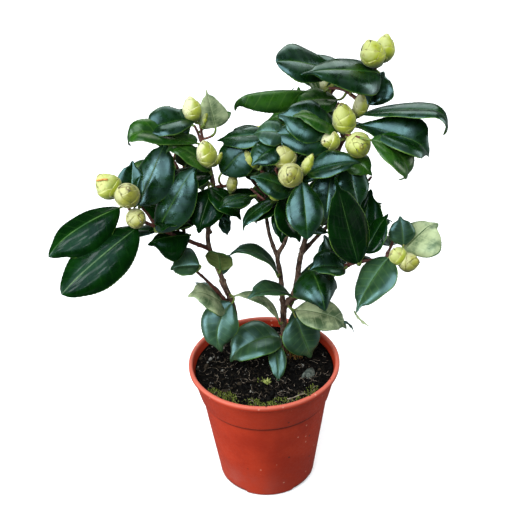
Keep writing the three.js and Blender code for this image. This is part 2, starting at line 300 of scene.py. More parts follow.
# %% [markdown]
# ## Directions and smooth paths
#
# A gardener would say which way a shoot heads and how steeply it climbs, and so does this script.
# Limbs, shoots and stalks are all curves through a few points. The curve between two points is a
# cubic that takes its slope from their neighbours, and it is then cut into even steps.

# %% Helpers: directions and paths
CURVE_STEPS = 12


def unit(v):
    v = np.asarray(v, float)
    return v / np.linalg.norm(v, axis=-1, keepdims=True)


def direction(heading, rise):
    """Heading in degrees from +X towards +Y, rise in degrees above level."""
    h, r = math.radians(heading), math.radians(rise)
    return np.array([math.cos(r) * math.cos(h), math.cos(r) * math.sin(h), math.sin(r)])


def length_along(path):
    """How far each point of a path is from its start, measured along it."""
    return np.concatenate([[0], np.cumsum(np.linalg.norm(np.diff(path, axis=0), axis=1))])


def smooth_path(points, step):
    """Even steps along a smooth curve through the points."""
    points = np.asarray(points, float)
    ends = np.vstack([2 * points[0] - points[1], points, 2 * points[-1] - points[-2]])
    t = np.linspace(0, 1, CURVE_STEPS + 1)[:-1, None]
    pieces = []
    for a, b, c, d in zip(ends, ends[1:], ends[2:], ends[3:]):
        pieces.append(0.5 * (2 * b + (c - a) * t + (2 * a - 5 * b + 4 * c - d) * t**2
                             + (3 * b - a - 3 * c + d) * t**3))
    curve = np.vstack(pieces + [points[-1:]])
    along = length_along(curve)
    count = max(2, math.ceil(along[-1] / step) + 1)
    stops = np.linspace(0, along[-1], count)
    return np.stack([np.interp(stops, along, curve[:, k]) for k in range(3)], 1)


print("a heading of 90 and a rise of 0 point along", direction(90, 0).round(2))

# %% [markdown]
# ## Tubes
#
# Wood, stalks, fibres and moss are all tubes: rings of points along a path, with a disc at each end.
# The ring's own direction is carried on from one ring to the next instead of being worked out anew,
# so the tube doesn't twist where the path bends.

# %% Helpers: rings and tubes
FACE_CORNERS = ((0, 0), (1, 0), (1, 1), (0, 1))
SIDE_STRIP, FOOT_STRIP, HEAD_STRIP = (0, 0.9), (0.92, 0.95), (0.96, 0.99)
NOT_ALONG_ANY_LIMB = [0.3, 0.9, 0.1]


def ring_faces(rings, sides):
    """Four-cornered faces between neighbouring rings of points, and the map of their corners."""
    i, j = np.divmod(np.arange((rings - 1) * sides), sides)
    k = (j + 1) % sides
    faces = np.stack([i * sides + j, i * sides + k, (i + 1) * sides + k, (i + 1) * sides + j], 1)
    own = np.stack([np.stack([(j + a) / sides, (i + b) / (rings - 1)], 1) for a, b in FACE_CORNERS], 1)
    return faces, own


def add_tube(gathering, path, radii, sides, finish=0):
    """A closed tube. radii is one number, one for each point, or one for each point and side."""
    path = np.asarray(path, float)
    ahead = unit(np.gradient(path, axis=0))
    radii = np.asarray(radii, float)
    radii = np.broadcast_to(radii.reshape(len(path), -1) if radii.ndim else radii, (len(path), sides))
    side = unit(np.cross(ahead[0], NOT_ALONG_ANY_LIMB))
    angles = np.arange(sides) * 2 * math.pi / sides
    rings = []
    for point, along, ring in zip(path, ahead, radii):
        side = unit(side - along * side.dot(along))
        other = np.cross(along, side)
        spokes = np.outer(np.cos(angles), side) + np.outer(np.sin(angles), other)
        rings.append(point + ring[:, None] * spokes)
    faces, own = ring_faces(len(path), sides)
    foot, head = np.arange(sides)[::-1], (len(path) - 1) * sides + np.arange(sides)
    disc = 0.5 + 0.5 * np.stack([np.cos(angles), np.sin(angles)], 1)
    gathering.add(np.vstack(rings), [
        (faces, own, SIDE_STRIP, finish), ([foot], disc[None, ::-1], FOOT_STRIP, finish),
        ([head], disc[None], HEAD_STRIP, finish)])


print("a tube of 8 sides and 2 rings has", len(ring_faces(2, 8)[0]), "side faces")

# %% [markdown]
# ## Small words for shading
#
# Most finishes are built from the same few ideas: a sum, a soft step from one value to another, a
# blend of two colours, and a soft noise that stands for anything uneven. Each gets a short name here,
# and each adds its node to the tree that it is given.

# %% Helpers: sums, soft steps, blends and noise
def calculate(tree, operation, a, b=0.0, c=0.0):
    return make_node(tree, "ShaderNodeMath", {0: a, 1: b, 2: c}, operation=operation).outputs[0]


def band(tree, value, low, high, low_out=0.0, high_out=1.0):
    """Turns low..high of a value into low_out..high_out, with soft ends."""
    made = make_node(tree, "ShaderNodeMapRange", {
        "Value": value, "From Min": low, "From Max": high, "To Min": low_out, "To Max": high_out},
        interpolation_type="SMOOTHSTEP")
    return made.outputs["Result"]


def blend_colours(tree, mask, first, second):
    made = make_node(tree, "ShaderNodeMix", {0: mask, 6: first, 7: second}, data_type="RGBA")
    return made.outputs[2]


def in_place(tree):
    """Where a point is on the plant, in metres."""
    return make_node(tree, "ShaderNodeTexCoord").outputs["Object"]


def unevenness(tree, scale, detail=2.0, roughness=0.5, vector=None):
    """Soft noise round 0.5, with so many waves to the metre."""
    made = make_node(tree, "ShaderNodeTexNoise", {
        "Vector": in_place(tree) if vector is None else vector, "Scale": scale, "Detail": detail,
        "Roughness": roughness})
    return made.outputs["Fac"]


def own_place(tree):
    """Where a point is on its own leaf, scale or twig: across it and along it, from 0 to 1."""
    own_map = make_node(tree, "ShaderNodeUVMap", uv_map="own")
    spot = make_node(tree, "ShaderNodeSeparateXYZ", {"Vector": own_map.outputs["UV"]})
    return spot.outputs["X"], spot.outputs["Y"]


def from_middle(tree, across):
    """0 on the middle line of a leaf or scale, and 1 at its margins."""
    return calculate(tree, "ABSOLUTE", calculate(tree, "MULTIPLY_ADD", across, 2.0, -1.0))


print("helpers for shading are ready")

# %% [markdown]
# ## Effects that several finishes share
#
# Real surfaces are never one flat colour. Patches of two tones, fine specks and the pattern of a
# leaf's veins turn up in many of the finishes below, so each is a node group: a small machine with
# named inputs and outputs that is built once and placed wherever it's wanted. The groups give only
# colours and masks. Gloss stays with each finish's own shader.

# %% Node groups: patches and specks
COLOUR, NUMBER = "NodeSocketColor", "NodeSocketFloat"


def start_group(name, inputs, outputs):
    group = bpy.data.node_groups.new(name, "ShaderNodeTree")
    for label, kind, start in inputs:
        socket = group.interface.new_socket(label, in_out="INPUT", socket_type=kind)
        socket.default_value = start
    for label, kind in outputs:
        group.interface.new_socket(label, in_out="OUTPUT", socket_type=kind)
    return group, group.nodes.new("NodeGroupInput"), group.nodes.new("NodeGroupOutput")


patches, inside, outside = start_group("patches", [
    ("Tone A", COLOUR, (1, 1, 1, 1)), ("Tone B", COLOUR, (0, 0, 0, 1)), ("Patches per Metre", NUMBER, 60)],
    [("Colour", COLOUR)])
patch_mask = band(patches, unevenness(patches, inside.outputs[2], 4.0, 0.6), 0.36, 0.66)
patched = blend_colours(patches, patch_mask, inside.outputs[0], inside.outputs[1])
patches.links.new(patched, outside.inputs[0])

specks, inside, outside = start_group("specks", [
    ("Specks per Metre", NUMBER, 300), ("Speck Size", NUMBER, 0.18), ("How Many", NUMBER, 0.3)],
    [("Mask", NUMBER)])
dots = make_node(specks, "ShaderNodeTexVoronoi", {"Vector": in_place(specks), "Scale": inside.outputs[0]})
near = calculate(specks, "LESS_THAN", dots.outputs["Distance"], inside.outputs[1])
chance = make_node(specks, "ShaderNodeSeparateColor", {"Color": dots.outputs["Color"]})
kept = calculate(specks, "LESS_THAN", chance.outputs["Red"], inside.outputs[2])
specks.links.new(calculate(specks, "MULTIPLY", near, kept), outside.inputs[0])
print("groups:", ", ".join(group.name for group in bpy.data.node_groups))

# %% [markdown]
# ## The lines of a leaf
#
# A camellia leaf has one strong midrib and about eight pairs of side veins, which slant forward and
# fade before they reach the margin. The group works on the leaf's own map, so the veins follow the
# blade however it bends. The same numbers swell the blade between its veins further down.

# %% Node group: leaf lines
VEIN_PAIRS, VEIN_SLANT = 8, 0.14
VEIN_WOBBLE, WOBBLES_PER_METRE = 0.035, 90.0

leaf_lines, inside, outside = start_group("leaf lines", [("Vein Width", NUMBER, 0.10)], [
    ("Veins", NUMBER), ("Beside Midrib", NUMBER), ("Edge", NUMBER)])
across, along = own_place(leaf_lines)
sideways = from_middle(leaf_lines, across)
swept = calculate(leaf_lines, "MULTIPLY_ADD", sideways, -VEIN_SLANT, along)
wobble = unevenness(leaf_lines, WOBBLES_PER_METRE)
swept = calculate(leaf_lines, "MULTIPLY_ADD", wobble, VEIN_WOBBLE, swept)
turn_count = calculate(leaf_lines, "FRACT", calculate(leaf_lines, "MULTIPLY", swept, float(VEIN_PAIRS)))
from_vein = calculate(leaf_lines, "ABSOLUTE", calculate(leaf_lines, "SUBTRACT", turn_count, 0.5))
vein = band(leaf_lines, from_vein, 0.0, inside.outputs[0], 1.0, 0.0)
fading = band(leaf_lines, sideways, 0.55, 0.92, 1.0, 0.0)
leaf_lines.links.new(calculate(leaf_lines, "MULTIPLY", vein, fading), outside.inputs[0])
leaf_lines.links.new(band(leaf_lines, sideways, 0.02, 0.16, 1.0, 0.0), outside.inputs[1])
leaf_lines.links.new(band(leaf_lines, sideways, 0.90, 1.0), outside.inputs[2])
print(VEIN_PAIRS, "pairs of side veins on each leaf")

# %% [markdown]
# ## A helper that starts a finish
#
# Every finish is one Principled shader. Numbers that are the same all over, such as the strength of
# the reflection, are set on the shader itself. What changes over the surface is linked: the colour,
# the roughness, and a height that a Bump node turns into a slightly uneven surface.

# %% Start a finish
def start_finish(name, **even_values):
    made = bpy.data.materials.new(name)
    made.use_nodes = True
    shader = made.node_tree.nodes["Principled BSDF"]
    for socket, value in even_values.items():
        shader.inputs[socket.replace("_", " ")].default_value = value
    return made, made.node_tree, shader


def place_group(tree, group, **inputs):
    """Places a node group with its own values."""
    made = make_node(tree, "ShaderNodeGroup", node_tree=group)
    for name, value in inputs.items():
        made.inputs[name.replace("_", " ")].default_value = value
    return made


def two_tones(tree, tone_a, tone_b, per_metre):
    """Patches of two paint-chart colours, so many to the metre."""
    made = place_group(tree, patches, Tone_A=paint(*tone_a), Tone_B=paint(*tone_b),
                       Patches_per_Metre=float(per_metre))
    return made.outputs["Colour"]


def rough_and_bumpy(tree, shader, low, high, grain, depth, stretch=(1, 1, 1)):
    """Uneven roughness from low to high, and bumps of so many to the metre, depth millimetres deep."""
    mapped = make_node(tree, "ShaderNodeMapping", {"Vector": in_place(tree), "Scale": stretch})
    uneven = unevenness(tree, float(grain), 3.0, vector=mapped.outputs["Vector"])
    tree.links.new(band(tree, uneven, 0.3, 0.7, low, high), shader.inputs["Roughness"])
    bump = make_node(tree, "ShaderNodeBump", {"Height": uneven, "Strength": 1.0, "Distance": depth * MM})
    tree.links.new(bump.outputs["Normal"], shader.inputs["Normal"])
    return uneven


print("a finish starts with a Principled shader")

# %% [markdown]
# ## The pot's plastic
#
# The pot is thin terracotta-coloured plastic, satin rather than glossy. It is chalky low down, and the
# chalk is stronger on its left, where a painted sheen marks the side that the light falls on. Painted
# shade darkens the crease under the collar, and a painted highlight lightens the top of the lip. Small
# rubs, pale dots and splashes of compost come on top, one layer at a time.

# %% Pot plastic
def within(tree, axis, low, high, low_out=0.0, high_out=1.0):
    """A soft step along one axis of the plant, with its limits in millimetres."""
    where = make_node(tree, "ShaderNodeSeparateXYZ", {"Vector": in_place(tree)})
    return band(tree, where.outputs[axis], low * MM, high * MM, low_out, high_out)


def speckled(tree, colour, speck_tone, strength, per_metre, size, share):
    """Lays specks of another tone over a colour."""
    dots = place_group(tree, specks, Specks_per_Metre=per_metre, Speck_Size=size, How_Many=share)
    mask = calculate(tree, "MULTIPLY", dots.outputs["Mask"], strength)
    return blend_colours(tree, mask, colour, paint(*speck_tone))


pot_plastic, tree, shader = start_finish("pot_plastic", IOR=1.46, Specular_IOR_Level=0.25)
plain = two_tones(tree, (178, 52, 26), (160, 42, 20), 28)
# Chalk low down, stronger on the left where the light falls: the plastic's own chalky bloom plus a painted
# sheen.
chalk_and_sheen = band(tree, unevenness(tree, 55.0, 5.0), 0.38, 0.72, 0.1, 0.55)
chalk_and_sheen = calculate(tree, "MULTIPLY", within(tree, "Z", 45, 8), chalk_and_sheen)
chalk_and_sheen = calculate(tree, "MULTIPLY", chalk_and_sheen, within(tree, "X", 30, -35, 0.35, 1.4))
chalked_and_sheened = blend_colours(tree, chalk_and_sheen, plain, paint(176, 80, 66))
# A darker band in the crease just under the collar: painted shade.
painted_crease_shade = calculate(tree, "MULTIPLY", within(tree, "Z", 85.5, 88.5), within(tree, "Z", 90.5, 89))
crease_shaded = blend_colours(tree, calculate(tree, "MULTIPLY", painted_crease_shade, 0.75), chalked_and_sheened, paint(66, 16, 10))
# A paler band round the top of the lip: a painted highlight.
lip_highlighted = blend_colours(tree, within(tree, "Z", 116.8, 119.2, 0.0, 0.75), crease_shaded, paint(208, 108, 88))
flattened = make_node(tree, "ShaderNodeMapping", {"Vector": in_place(tree), "Scale": (1, 1, 2.6)})
rub_places = unevenness(tree, 120.0, 6.0, 0.7, flattened.outputs["Vector"])
rubbed = blend_colours(tree, band(tree, rub_places, 0.66, 0.74, 0.0, 0.25), lip_highlighted, paint(206, 122, 100))
dotted = speckled(tree, rubbed, (226, 164, 140), 0.5, 150.0, 0.13, 0.22)
soiled = speckled(tree, dotted, (70, 34, 26), 0.75, 110.0, 0.12, 0.13)
tree.links.new(soiled, shader.inputs["Base Color"])
rough_and_bumpy(tree, shader, 0.42, 0.55, 420, 0.1)
print(pot_plastic.name, "has", len(tree.nodes), "nodes")

# %% [markdown]
# ## Soil, moss and bark
#
# Potting compost is almost black, with browner and greyer bits, and dull all over. Moss and chips
# take the same simple finish: two tones in patches, and a fine bump. The old stems are grey-brown
# with a grain that runs along them, and this year's shoots are redder and smoother.

# %% Soil, moss and bark
def earthy(name, tone_a, tone_b, per_metre, low, high, grain, depth, specular=0.3):
    made, tree, shader = start_finish(name, Specular_IOR_Level=specular)
    tree.links.new(two_tones(tree, tone_a, tone_b, per_metre), shader.inputs["Base Color"])
    rough_and_bumpy(tree, shader, low, high, grain, depth)
    return made


compost = earthy("compost", (2, 2, 2), (14, 12, 10), 420, 0.75, 1.0, 900, 0.8, 0.05)
dark_crumb = earthy("dark_crumb", (2, 2, 2), (20, 18, 15), 700, 0.7, 0.95, 1500, 0.5, 0.1)
brown_crumb = earthy("brown_crumb", (28, 24, 18), (64, 54, 42), 700, 0.7, 0.95, 1500, 0.5, 0.1)
grey_crumb = earthy("grey_crumb", (92, 90, 84), (150, 146, 136), 900, 0.6, 0.9, 1500, 0.4)
bark_chip = earthy("bark_chip", (44, 52, 46), (92, 98, 88), 500, 0.6, 0.9, 1200, 0.6)
pale_fibre = earthy("pale_fibre", (120, 104, 86), (172, 156, 136), 500, 0.6, 0.9, 1500, 0.2)
moss_green = earthy("moss_green", (74, 84, 26), (124, 134, 52), 900, 0.7, 0.95, 1500, 0.3)
weed_green = earthy("weed_green", (96, 108, 40), (168, 172, 96), 700, 0.5, 0.7, 900, 0.1)
moss_rust = earthy("moss_rust", (96, 62, 26), (150, 104, 50), 900, 0.7, 0.95, 1500, 0.3)


def bark(name, tone_a, tone_b, lichen, low, high):
    made, tree, shader = start_finish(name, Specular_IOR_Level=0.35)
    grain = rough_and_bumpy(tree, shader, low, high, 700, 0.35, (1, 1, 0.3))
    pale_grain = band(tree, grain, 0.5, 0.75, 0.0, 0.7)
    grained = blend_colours(tree, pale_grain, two_tones(tree, tone_a, tone_b, 150), paint(*lichen))
    tree.links.new(grained, shader.inputs["Base Color"])
    return made


brown_bark = bark("brown_bark", (114, 86, 70), (64, 43, 34), (172, 148, 128), 0.6, 0.9)
red_bark = bark("red_bark", (104, 54, 44), (66, 34, 30), (150, 108, 90), 0.45, 0.7)
green_stalk = bark("green_stalk", (96, 120, 48), (118, 134, 62), (150, 110, 70), 0.35, 0.6)
print(len(bpy.data.materials), "finishes so far")

# %% [markdown]
# ## Leaf finishes
#
# A camellia leaf is dark, almost bottle green, with a waxy gloss. Its midrib and saw-toothed edge
# are yellower, its side veins barely show, and the underside is a duller olive. Old leaves low on
# the plant are greyer, and the darkest leaves are wet in streaks. A tone belongs to a whole leaf,
# and the leaves of a spray share one tone or a few.

# %% Leaf faces
SKY_SHEEN, GREEN_SHEEN = (0.50, 0.88, 0.95, 1), (0.78, 1.0, 0.80, 1)
STREAKS_ACROSS_AND_ALONG = (14.0, 3.0, 1.0)


def leaf_face(name, tone_a, tone_b, vein_tone, vein_strength, rough, specular, sheen=GREEN_SHEEN, wet=0.0):
    made, tree, shader = start_finish(name, IOR=1.5, Specular_IOR_Level=specular, Specular_Tint=sheen)
    lines = place_group(tree, leaf_lines, Vein_Width=0.09)
    colour = two_tones(tree, tone_a, tone_b, 70)
    for line, strength in (("Veins", vein_strength), ("Beside Midrib", vein_strength * 0.9), ("Edge", 0.35)):
        mask = calculate(tree, "MULTIPLY", lines.outputs[line], strength)
        colour = blend_colours(tree, mask, colour, paint(*vein_tone))
    tree.links.new(colour, shader.inputs["Base Color"])
    rough_and_bumpy(tree, shader, rough[0], rough[1], 150, 0.12)
    if wet:
        own_map = make_node(tree, "ShaderNodeUVMap", uv_map="own")
        stretched = make_node(tree, "ShaderNodeVectorMath", {
            0: own_map.outputs["UV"], 1: STREAKS_ACROSS_AND_ALONG}, operation="MULTIPLY")
        streaks = unevenness(tree, 1.0, 6.0, vector=stretched.outputs["Vector"])
        tree.links.new(band(tree, streaks, 0.5, 0.62, 0.0, wet), shader.inputs["Coat Weight"])
        shader.inputs["Coat Roughness"].default_value = 0.12
    return made


leaf_deep = leaf_face("leaf_deep", (3, 27, 1), (13, 46, 4), (42, 84, 22), 0.25, (0.2, 0.4), 1.0, SKY_SHEEN)
leaf_dark = leaf_face("leaf_dark", (3, 26, 3), (8, 42, 5), (30, 66, 18), 0.25, (0.2, 0.3), 0.1, SKY_SHEEN,
                      wet=0.45)
leaf_fresh = leaf_face("leaf_fresh", (18, 56, 8), (40, 82, 14), (84, 120, 44), 0.35, (0.24, 0.38), 0.5)
leaf_aged = leaf_face("leaf_aged", (26, 50, 26), (46, 74, 42), (86, 112, 62), 0.35, (0.28, 0.42), 1.0,
                      SKY_SHEEN)
leaf_pale = leaf_face("leaf_pale", (70, 92, 56), (172, 182, 136), (188, 196, 150), 0.35, (0.38, 0.52), 0.6)
under_green = leaf_face("under_green", (22, 46, 8), (38, 64, 14), (74, 96, 34), 0.4, (0.42, 0.56), 0.35)
under_olive = leaf_face("under_olive", (64, 78, 32), (92, 104, 48), (122, 132, 80), 0.45, (0.45, 0.6), 0.35)
print("seven leaf faces")

# %% [markdown]
# ## Midrib and margin
#
# The midrib and the toothed margin are narrow strips of a leaf, with a finish of their own. A leaf's
# mesh holds all the leaf finishes in one list, and each of its faces says which of them it wears.

# %% Midrib and margin, and who wears what
def plain_line(name, tone_a, tone_b):
    made, tree, shader = start_finish(name, Specular_IOR_Level=0.4)
    tree.links.new(two_tones(tree, tone_a, tone_b, 120), shader.inputs["Base Color"])
    rough_and_bumpy(tree, shader, 0.35, 0.5, 600, 0.1)
    return made


midrib = plain_line("midrib", (30, 72, 22), (64, 100, 36))
leaf_edge = plain_line("leaf_edge", (44, 84, 24), (92, 126, 44))
LEAF_FINISHES = [
    leaf_deep, leaf_fresh, leaf_aged, leaf_pale, under_green, under_olive, midrib, leaf_edge, leaf_dark]
FACE_AND_BACK = {
    "deep": (leaf_deep, under_green), "fresh": (leaf_fresh, under_green), "aged": (leaf_aged, under_olive),
    "pale": (leaf_pale, under_olive), "olive": (leaf_fresh, under_olive), "dark": (leaf_dark, under_green)}
TONES = {tone: [LEAF_FINISHES.index(finish) for finish in pair] for tone, pair in FACE_AND_BACK.items()}
MIDRIB, EDGE = LEAF_FINISHES.index(midrib), LEAF_FINISHES.index(leaf_edge)
print("tones of a leaf:", ", ".join(TONES))

# %% [markdown]
# ## Bud finishes
#
# Buds are wrapped in silky scales, lime to cream, and a darker olive on buds deep in the crown, which
# is partly their own tone and partly painted shade. Each scale is greener at its foot and yellower at
# its top, brown along its rim and bruised here and there. The side of a bud that faces the upper-left
# light is painted paler and creamier, as painted light. One bud has begun to split, and shows a line of
# orange.

# %% Bud skins
# The buds' painted light comes from this side, the upper left, where the lamps are.
SUNNY_SIDE = (-0.62, -0.3, 0.72)
PAINTED_LIGHT_TONE = (216, 212, 168)


def bud_skin(name, low_tone, high_tone, rim_tone, painted_light):
    """Colour runs from low_tone at a scale's foot to high_tone at its top, with a brown rim."""
    made, tree, shader = start_finish(name, Specular_IOR_Level=0.35, Sheen_Weight=0.25, Sheen_Roughness=0.5)
    across, along = own_place(tree)
    blotches = unevenness(tree, 160.0, 5.0)
    upward = calculate(tree, "MULTIPLY_ADD", blotches, 0.9, calculate(tree, "SUBTRACT", along, 0.45))
    body = blend_colours(tree, band(tree, upward, 0.1, 0.9), paint(*low_tone), paint(*high_tone))
    # Scales facing the upper-left lamps are painted paler and creamier: painted light.
    facing = make_node(tree, "ShaderNodeNewGeometry").outputs["Normal"]
    sunward = make_node(tree, "ShaderNodeVectorMath", {0: facing, 1: SUNNY_SIDE}, operation="DOT_PRODUCT")
    lit = calculate(tree, "SUBTRACT", sunward.outputs["Value"], 0.6)
    painted_light_mask = calculate(tree, "MULTIPLY_ADD", unevenness(tree, 110.0, 5.0), 1.2, lit)
    body = blend_colours(tree, band(tree, painted_light_mask, 0.2, 0.9, 0.0, painted_light), body, paint(*PAINTED_LIGHT_TONE))
    at_margin, at_top = band(tree, from_middle(tree, across), 0.92, 1.0), band(tree, along, 0.94, 1.0)
    rim = calculate(tree, "MAXIMUM", at_margin, at_top)
    rim = calculate(tree, "MULTIPLY", rim, band(tree, blotches, 0.3, 0.6, 0.35, 0.9))
    rimmed = blend_colours(tree, rim, body, paint(*rim_tone))
    bruises = band(tree, unevenness(tree, 320.0, 4.0), 0.56, 0.72, 0.0, 0.5)
    tree.links.new(blend_colours(tree, bruises, rimmed, paint(*rim_tone)), shader.inputs["Base Color"])
    rough_and_bumpy(tree, shader, 0.42, 0.58, 900, 0.15, (1, 1, 0.35))
    return made


# The last number is how strong the painted light on each bud's lit side is; cream buds get the most.
bud_lime = bud_skin("bud_lime", (92, 110, 2), (166, 174, 34), (116, 88, 30), 0.4)
bud_cream = bud_skin("bud_cream", (100, 118, 6), (172, 178, 58), (134, 110, 48), 0.85)
bud_split = earthy("bud_split", (190, 120, 46), (216, 158, 84), 500, 0.5, 0.7, 900, 0.1)
# A darker olive skin for buds deep in the crown: partly their own tone, partly painted shade.
bud_olive_shaded = bud_skin("bud_olive_shaded", (84, 94, 8), (150, 148, 48), (100, 76, 32), 0.4)
BUD_FINISHES = [bud_lime, bud_cream, bud_olive_shaded, bud_split]
BUD_TONES = {"lime": 0, "cream": 1, "olive": 2, "split": 3}
print(len(bpy.data.materials), "finishes")

# %% [markdown]
# ## The pot's outline
#
# A nursery pot is made from one thin sheet of plastic: a tapering wall, a wider collar with a rolled
# lip, and a foot that is notched in four places so that water can drain away. A lathe shape suits
# it. One outline, with every corner softened by its own amount, is turned round the middle.

# %% Draw the pot's outline
POT = dict(
    height=120, rim=65, base=42.3, collar_height=30, collar_foot=56.6, body_top=55, wall=1.6, floor=2.4)
ROUND_STEPS = 6


def rounded(corners, radii):
    """An outline with its corners rounded, each by its own radius."""
    outline = [np.array(corners[0], float)]
    for before, corner, after, radius in zip(corners, corners[1:], corners[2:], radii):
        before, corner, after = (np.array(p, float) for p in (before, corner, after))
        start = corner + unit(before - corner) * radius
        end = corner + unit(after - corner) * radius
        for t in np.linspace(0, 1, ROUND_STEPS):
            outline.append((1 - t) ** 2 * start + 2 * t * (1 - t) * corner + t * t * end)
    outline.append(np.array(corners[-1], float))
    return np.array(outline)


collar_foot = POT["height"] - POT["collar_height"]
body_slope = (POT["body_top"] - POT["base"]) / collar_foot
under_lip = POT["rim"] - 1.8
pot_corners = [
    # corner (radius, height)
    (0, 0.6), (POT["base"] - 7, 0.6), (POT["base"] - 5, 0), (POT["base"], 0),
    (POT["body_top"] - 0.1, collar_foot - 1.6), (POT["collar_foot"], collar_foot - 0.2),
    (under_lip - 0.6, POT["height"] - 5.6), (POT["rim"], POT["height"] - 4.6), (POT["rim"], POT["height"]),
    (POT["rim"] - 3.2, POT["height"]), (under_lip - 2.6, POT["height"] - 5.6),
    (POT["collar_foot"] - POT["wall"], collar_foot + 1), (POT["body_top"] - POT["wall"], collar_foot - 1.6),
    (POT["base"] + body_slope * POT["floor"] - POT["wall"], POT["floor"]), (0, POT["floor"])]
pot_rounding = [0.8, 0.6, 3.2, 0.7, 0.9, 0.8, 1.6, 1.5, 1.2, 1.0, 0.8, 0.8, 1.5]
pot_outline = rounded(pot_corners, pot_rounding)
print("outline of", len(pot_outline), "points")

# %% [markdown]
# ## Turning the pot
#
# The outline is turned round the middle in many sides. The wall gets extra rows, because each notch
# is pressed in by lifting the points of the foot that lie inside it, and a coarse wall would tear
# into long spikes there. Lifting points keeps the mesh closed and needs no cutting. Last, the whole
# pot goes a little out of round, as thin plastic does.

# %% Turn the pot
POT_SIDES, WALL_ROWS = 192, 30
TURNED_SIDE, TURNED_FOOT, TURNED_TOP = (0, 0.9), (0.91, 0.95), (0.96, 1)
NOTCHES = dict(count=4, first=-43, width=24, height=3.2, inner=34)
OUT_OF_ROUND, SOFT_WAVES = 0.0012, 0.02


def along_line(a, b, count):
    return [tuple(np.array(a) + (np.array(b) - np.array(a)) * t) for t in np.linspace(0, 1, count)[1:-1]]


def turned_solid(outline, sides):
    """Turns an outline of (radius, height) that starts and ends on the axis into a closed solid."""
    angles = np.arange(sides) * 2 * math.pi / sides
    ring = outline[1:-1]
    corners = np.stack([np.outer(ring[:, 0], np.cos(angles)), np.outer(ring[:, 0], np.sin(angles)),
                        np.repeat(ring[:, 1:], sides, 1)], 2).reshape(-1, 3)
    corners = np.vstack([corners, [0, 0, outline[0, 1]], [0, 0, outline[-1, 1]]])
    faces, own = ring_faces(len(ring), sides)
    spin = np.arange(sides)
    first = np.stack([np.full(sides, len(corners) - 2), (spin + 1) % sides, spin], 1)
    top = (len(ring) - 1) * sides
    last = np.stack([np.full(sides, len(corners) - 1), top + spin, top + (spin + 1) % sides], 1)
    fan = np.tile([[0.5, 0.5], [0.4, 0.9], [0.6, 0.9]], (sides, 1, 1))
    return corners, [(faces, own, TURNED_SIDE, 0), (first, fan, TURNED_FOOT, 0), (last, fan, TURNED_TOP, 0)]


wall_foot = 3 * ROUND_STEPS
wall_rows = along_line(pot_outline[wall_foot], pot_outline[wall_foot + 1], WALL_ROWS)
pot_outline = np.vstack([pot_outline[:wall_foot + 1], wall_rows, pot_outline[wall_foot + 1:]])
pot_points, pot_groups = turned_solid(pot_outline, POT_SIDES)

reach = np.hypot(pot_points[:, 0], pot_points[:, 1])
pot_heading = np.degrees(np.arctan2(pot_points[:, 1], pot_points[:, 0]))
spacing = 360 / NOTCHES["count"]
off_notch = np.radians(np.abs((pot_heading - NOTCHES["first"] + spacing / 2) % spacing - spacing / 2))
in_notch = (reach * np.sin(off_notch) < NOTCHES["width"] / 2) & (reach > NOTCHES["inner"])
under_foot = np.arange(len(pot_points)) < (wall_foot + len(wall_rows)) * POT_SIDES
below = in_notch & under_foot & (pot_points[:, 2] < NOTCHES["height"])
through_wall = below & (reach > POT["base"] - 1.5)
pot_points[below, 2] = POT["floor"] - 0.3
pot_points[through_wall, 2] = NOTCHES["height"]
softness = np.array([noise.noise(Vector(p) * SOFT_WAVES) for p in pot_points])
pot_points[:, :2] *= (1 + OUT_OF_ROUND * softness)[:, None]

pot_gathering = Gathering()
pot_gathering.add(pot_points, pot_groups)
pot_gathering.build("nursery_pot", [pot_plastic], "pot_plastic", ["pot"])

# %% [markdown]
# ## The compost
#
# Compost is fibrous and crumbly. A disc with uneven relief gives the surface, and it is hidden
# almost everywhere under loose crumbs, twisted fibres and cushions of moss, which are what the eye
# reads as soil. It fills the pot down to the floor, a hair's breadth inside the plastic.

# %% Lay the compost
SOIL_TOP, SOIL_DISH, SOIL_FLOOR = 112.6, 0.6, 2.8
SOIL_RINGS, SOIL_SIDES = 64, 160
WALL_GAP = 0.35
RELIEF_ABOVE = 100


def soil_radius(z):
    """How far out the compost reaches at a height, just inside the pot's wall."""
    on_body = POT["base"] + body_slope * z
    share = (z - collar_foot) / POT["collar_height"]
    on_collar = POT["collar_foot"] + (under_lip - POT["collar_foot"]) * share
    return (on_body if z < collar_foot else on_collar) - POT["wall"] - WALL_GAP


def soil_height(x, y):
    """The relief of the surface: a shallow dish with lumps of several sizes."""
    out = math.hypot(x, y) / soil_radius(SOIL_TOP)
    lumps = 1.6 * noise.fractal(Vector((x, y, 4)) * 0.07, 0.9, 2.1, 5)
    crumbs = 0.9 * noise.noise(Vector((x, y, 9)) * 0.45)
    return SOIL_TOP - SOIL_DISH * out**4 + (lumps + crumbs) * (1 - 0.5 * out**6)


edge = soil_radius(SOIL_TOP - SOIL_DISH)
under_collar, in_collar = collar_foot - 1, collar_foot + 2
soil_outline = [
    (0, SOIL_FLOOR), (soil_radius(SOIL_FLOOR), SOIL_FLOOR), (soil_radius(under_collar), under_collar),
    (soil_radius(in_collar) - 1, in_collar)]
soil_outline += [(edge * t, SOIL_TOP) for t in np.linspace(1, 0, SOIL_RINGS)]
soil_points, soil_groups = turned_solid(np.array(soil_outline), SOIL_SIDES)
for point in soil_points[soil_points[:, 2] > RELIEF_ABOVE]:
    point[2] = soil_height(point[0], point[1])
soil_gathering = Gathering()
soil_gathering.add(soil_points, soil_groups)
soil_gathering.build("compost_bed", [compost], "soil", ["soil"])

# %% [markdown]
# ## Crumbs
#
# A crumb is one lump with twenty faces, squashed, pushed out of shape and turned by chance, so that
# no two are alike. Thousands of small ones and a few big ones lie where chance puts them. A chip of
# bark and some pale bits lie in places of their own.

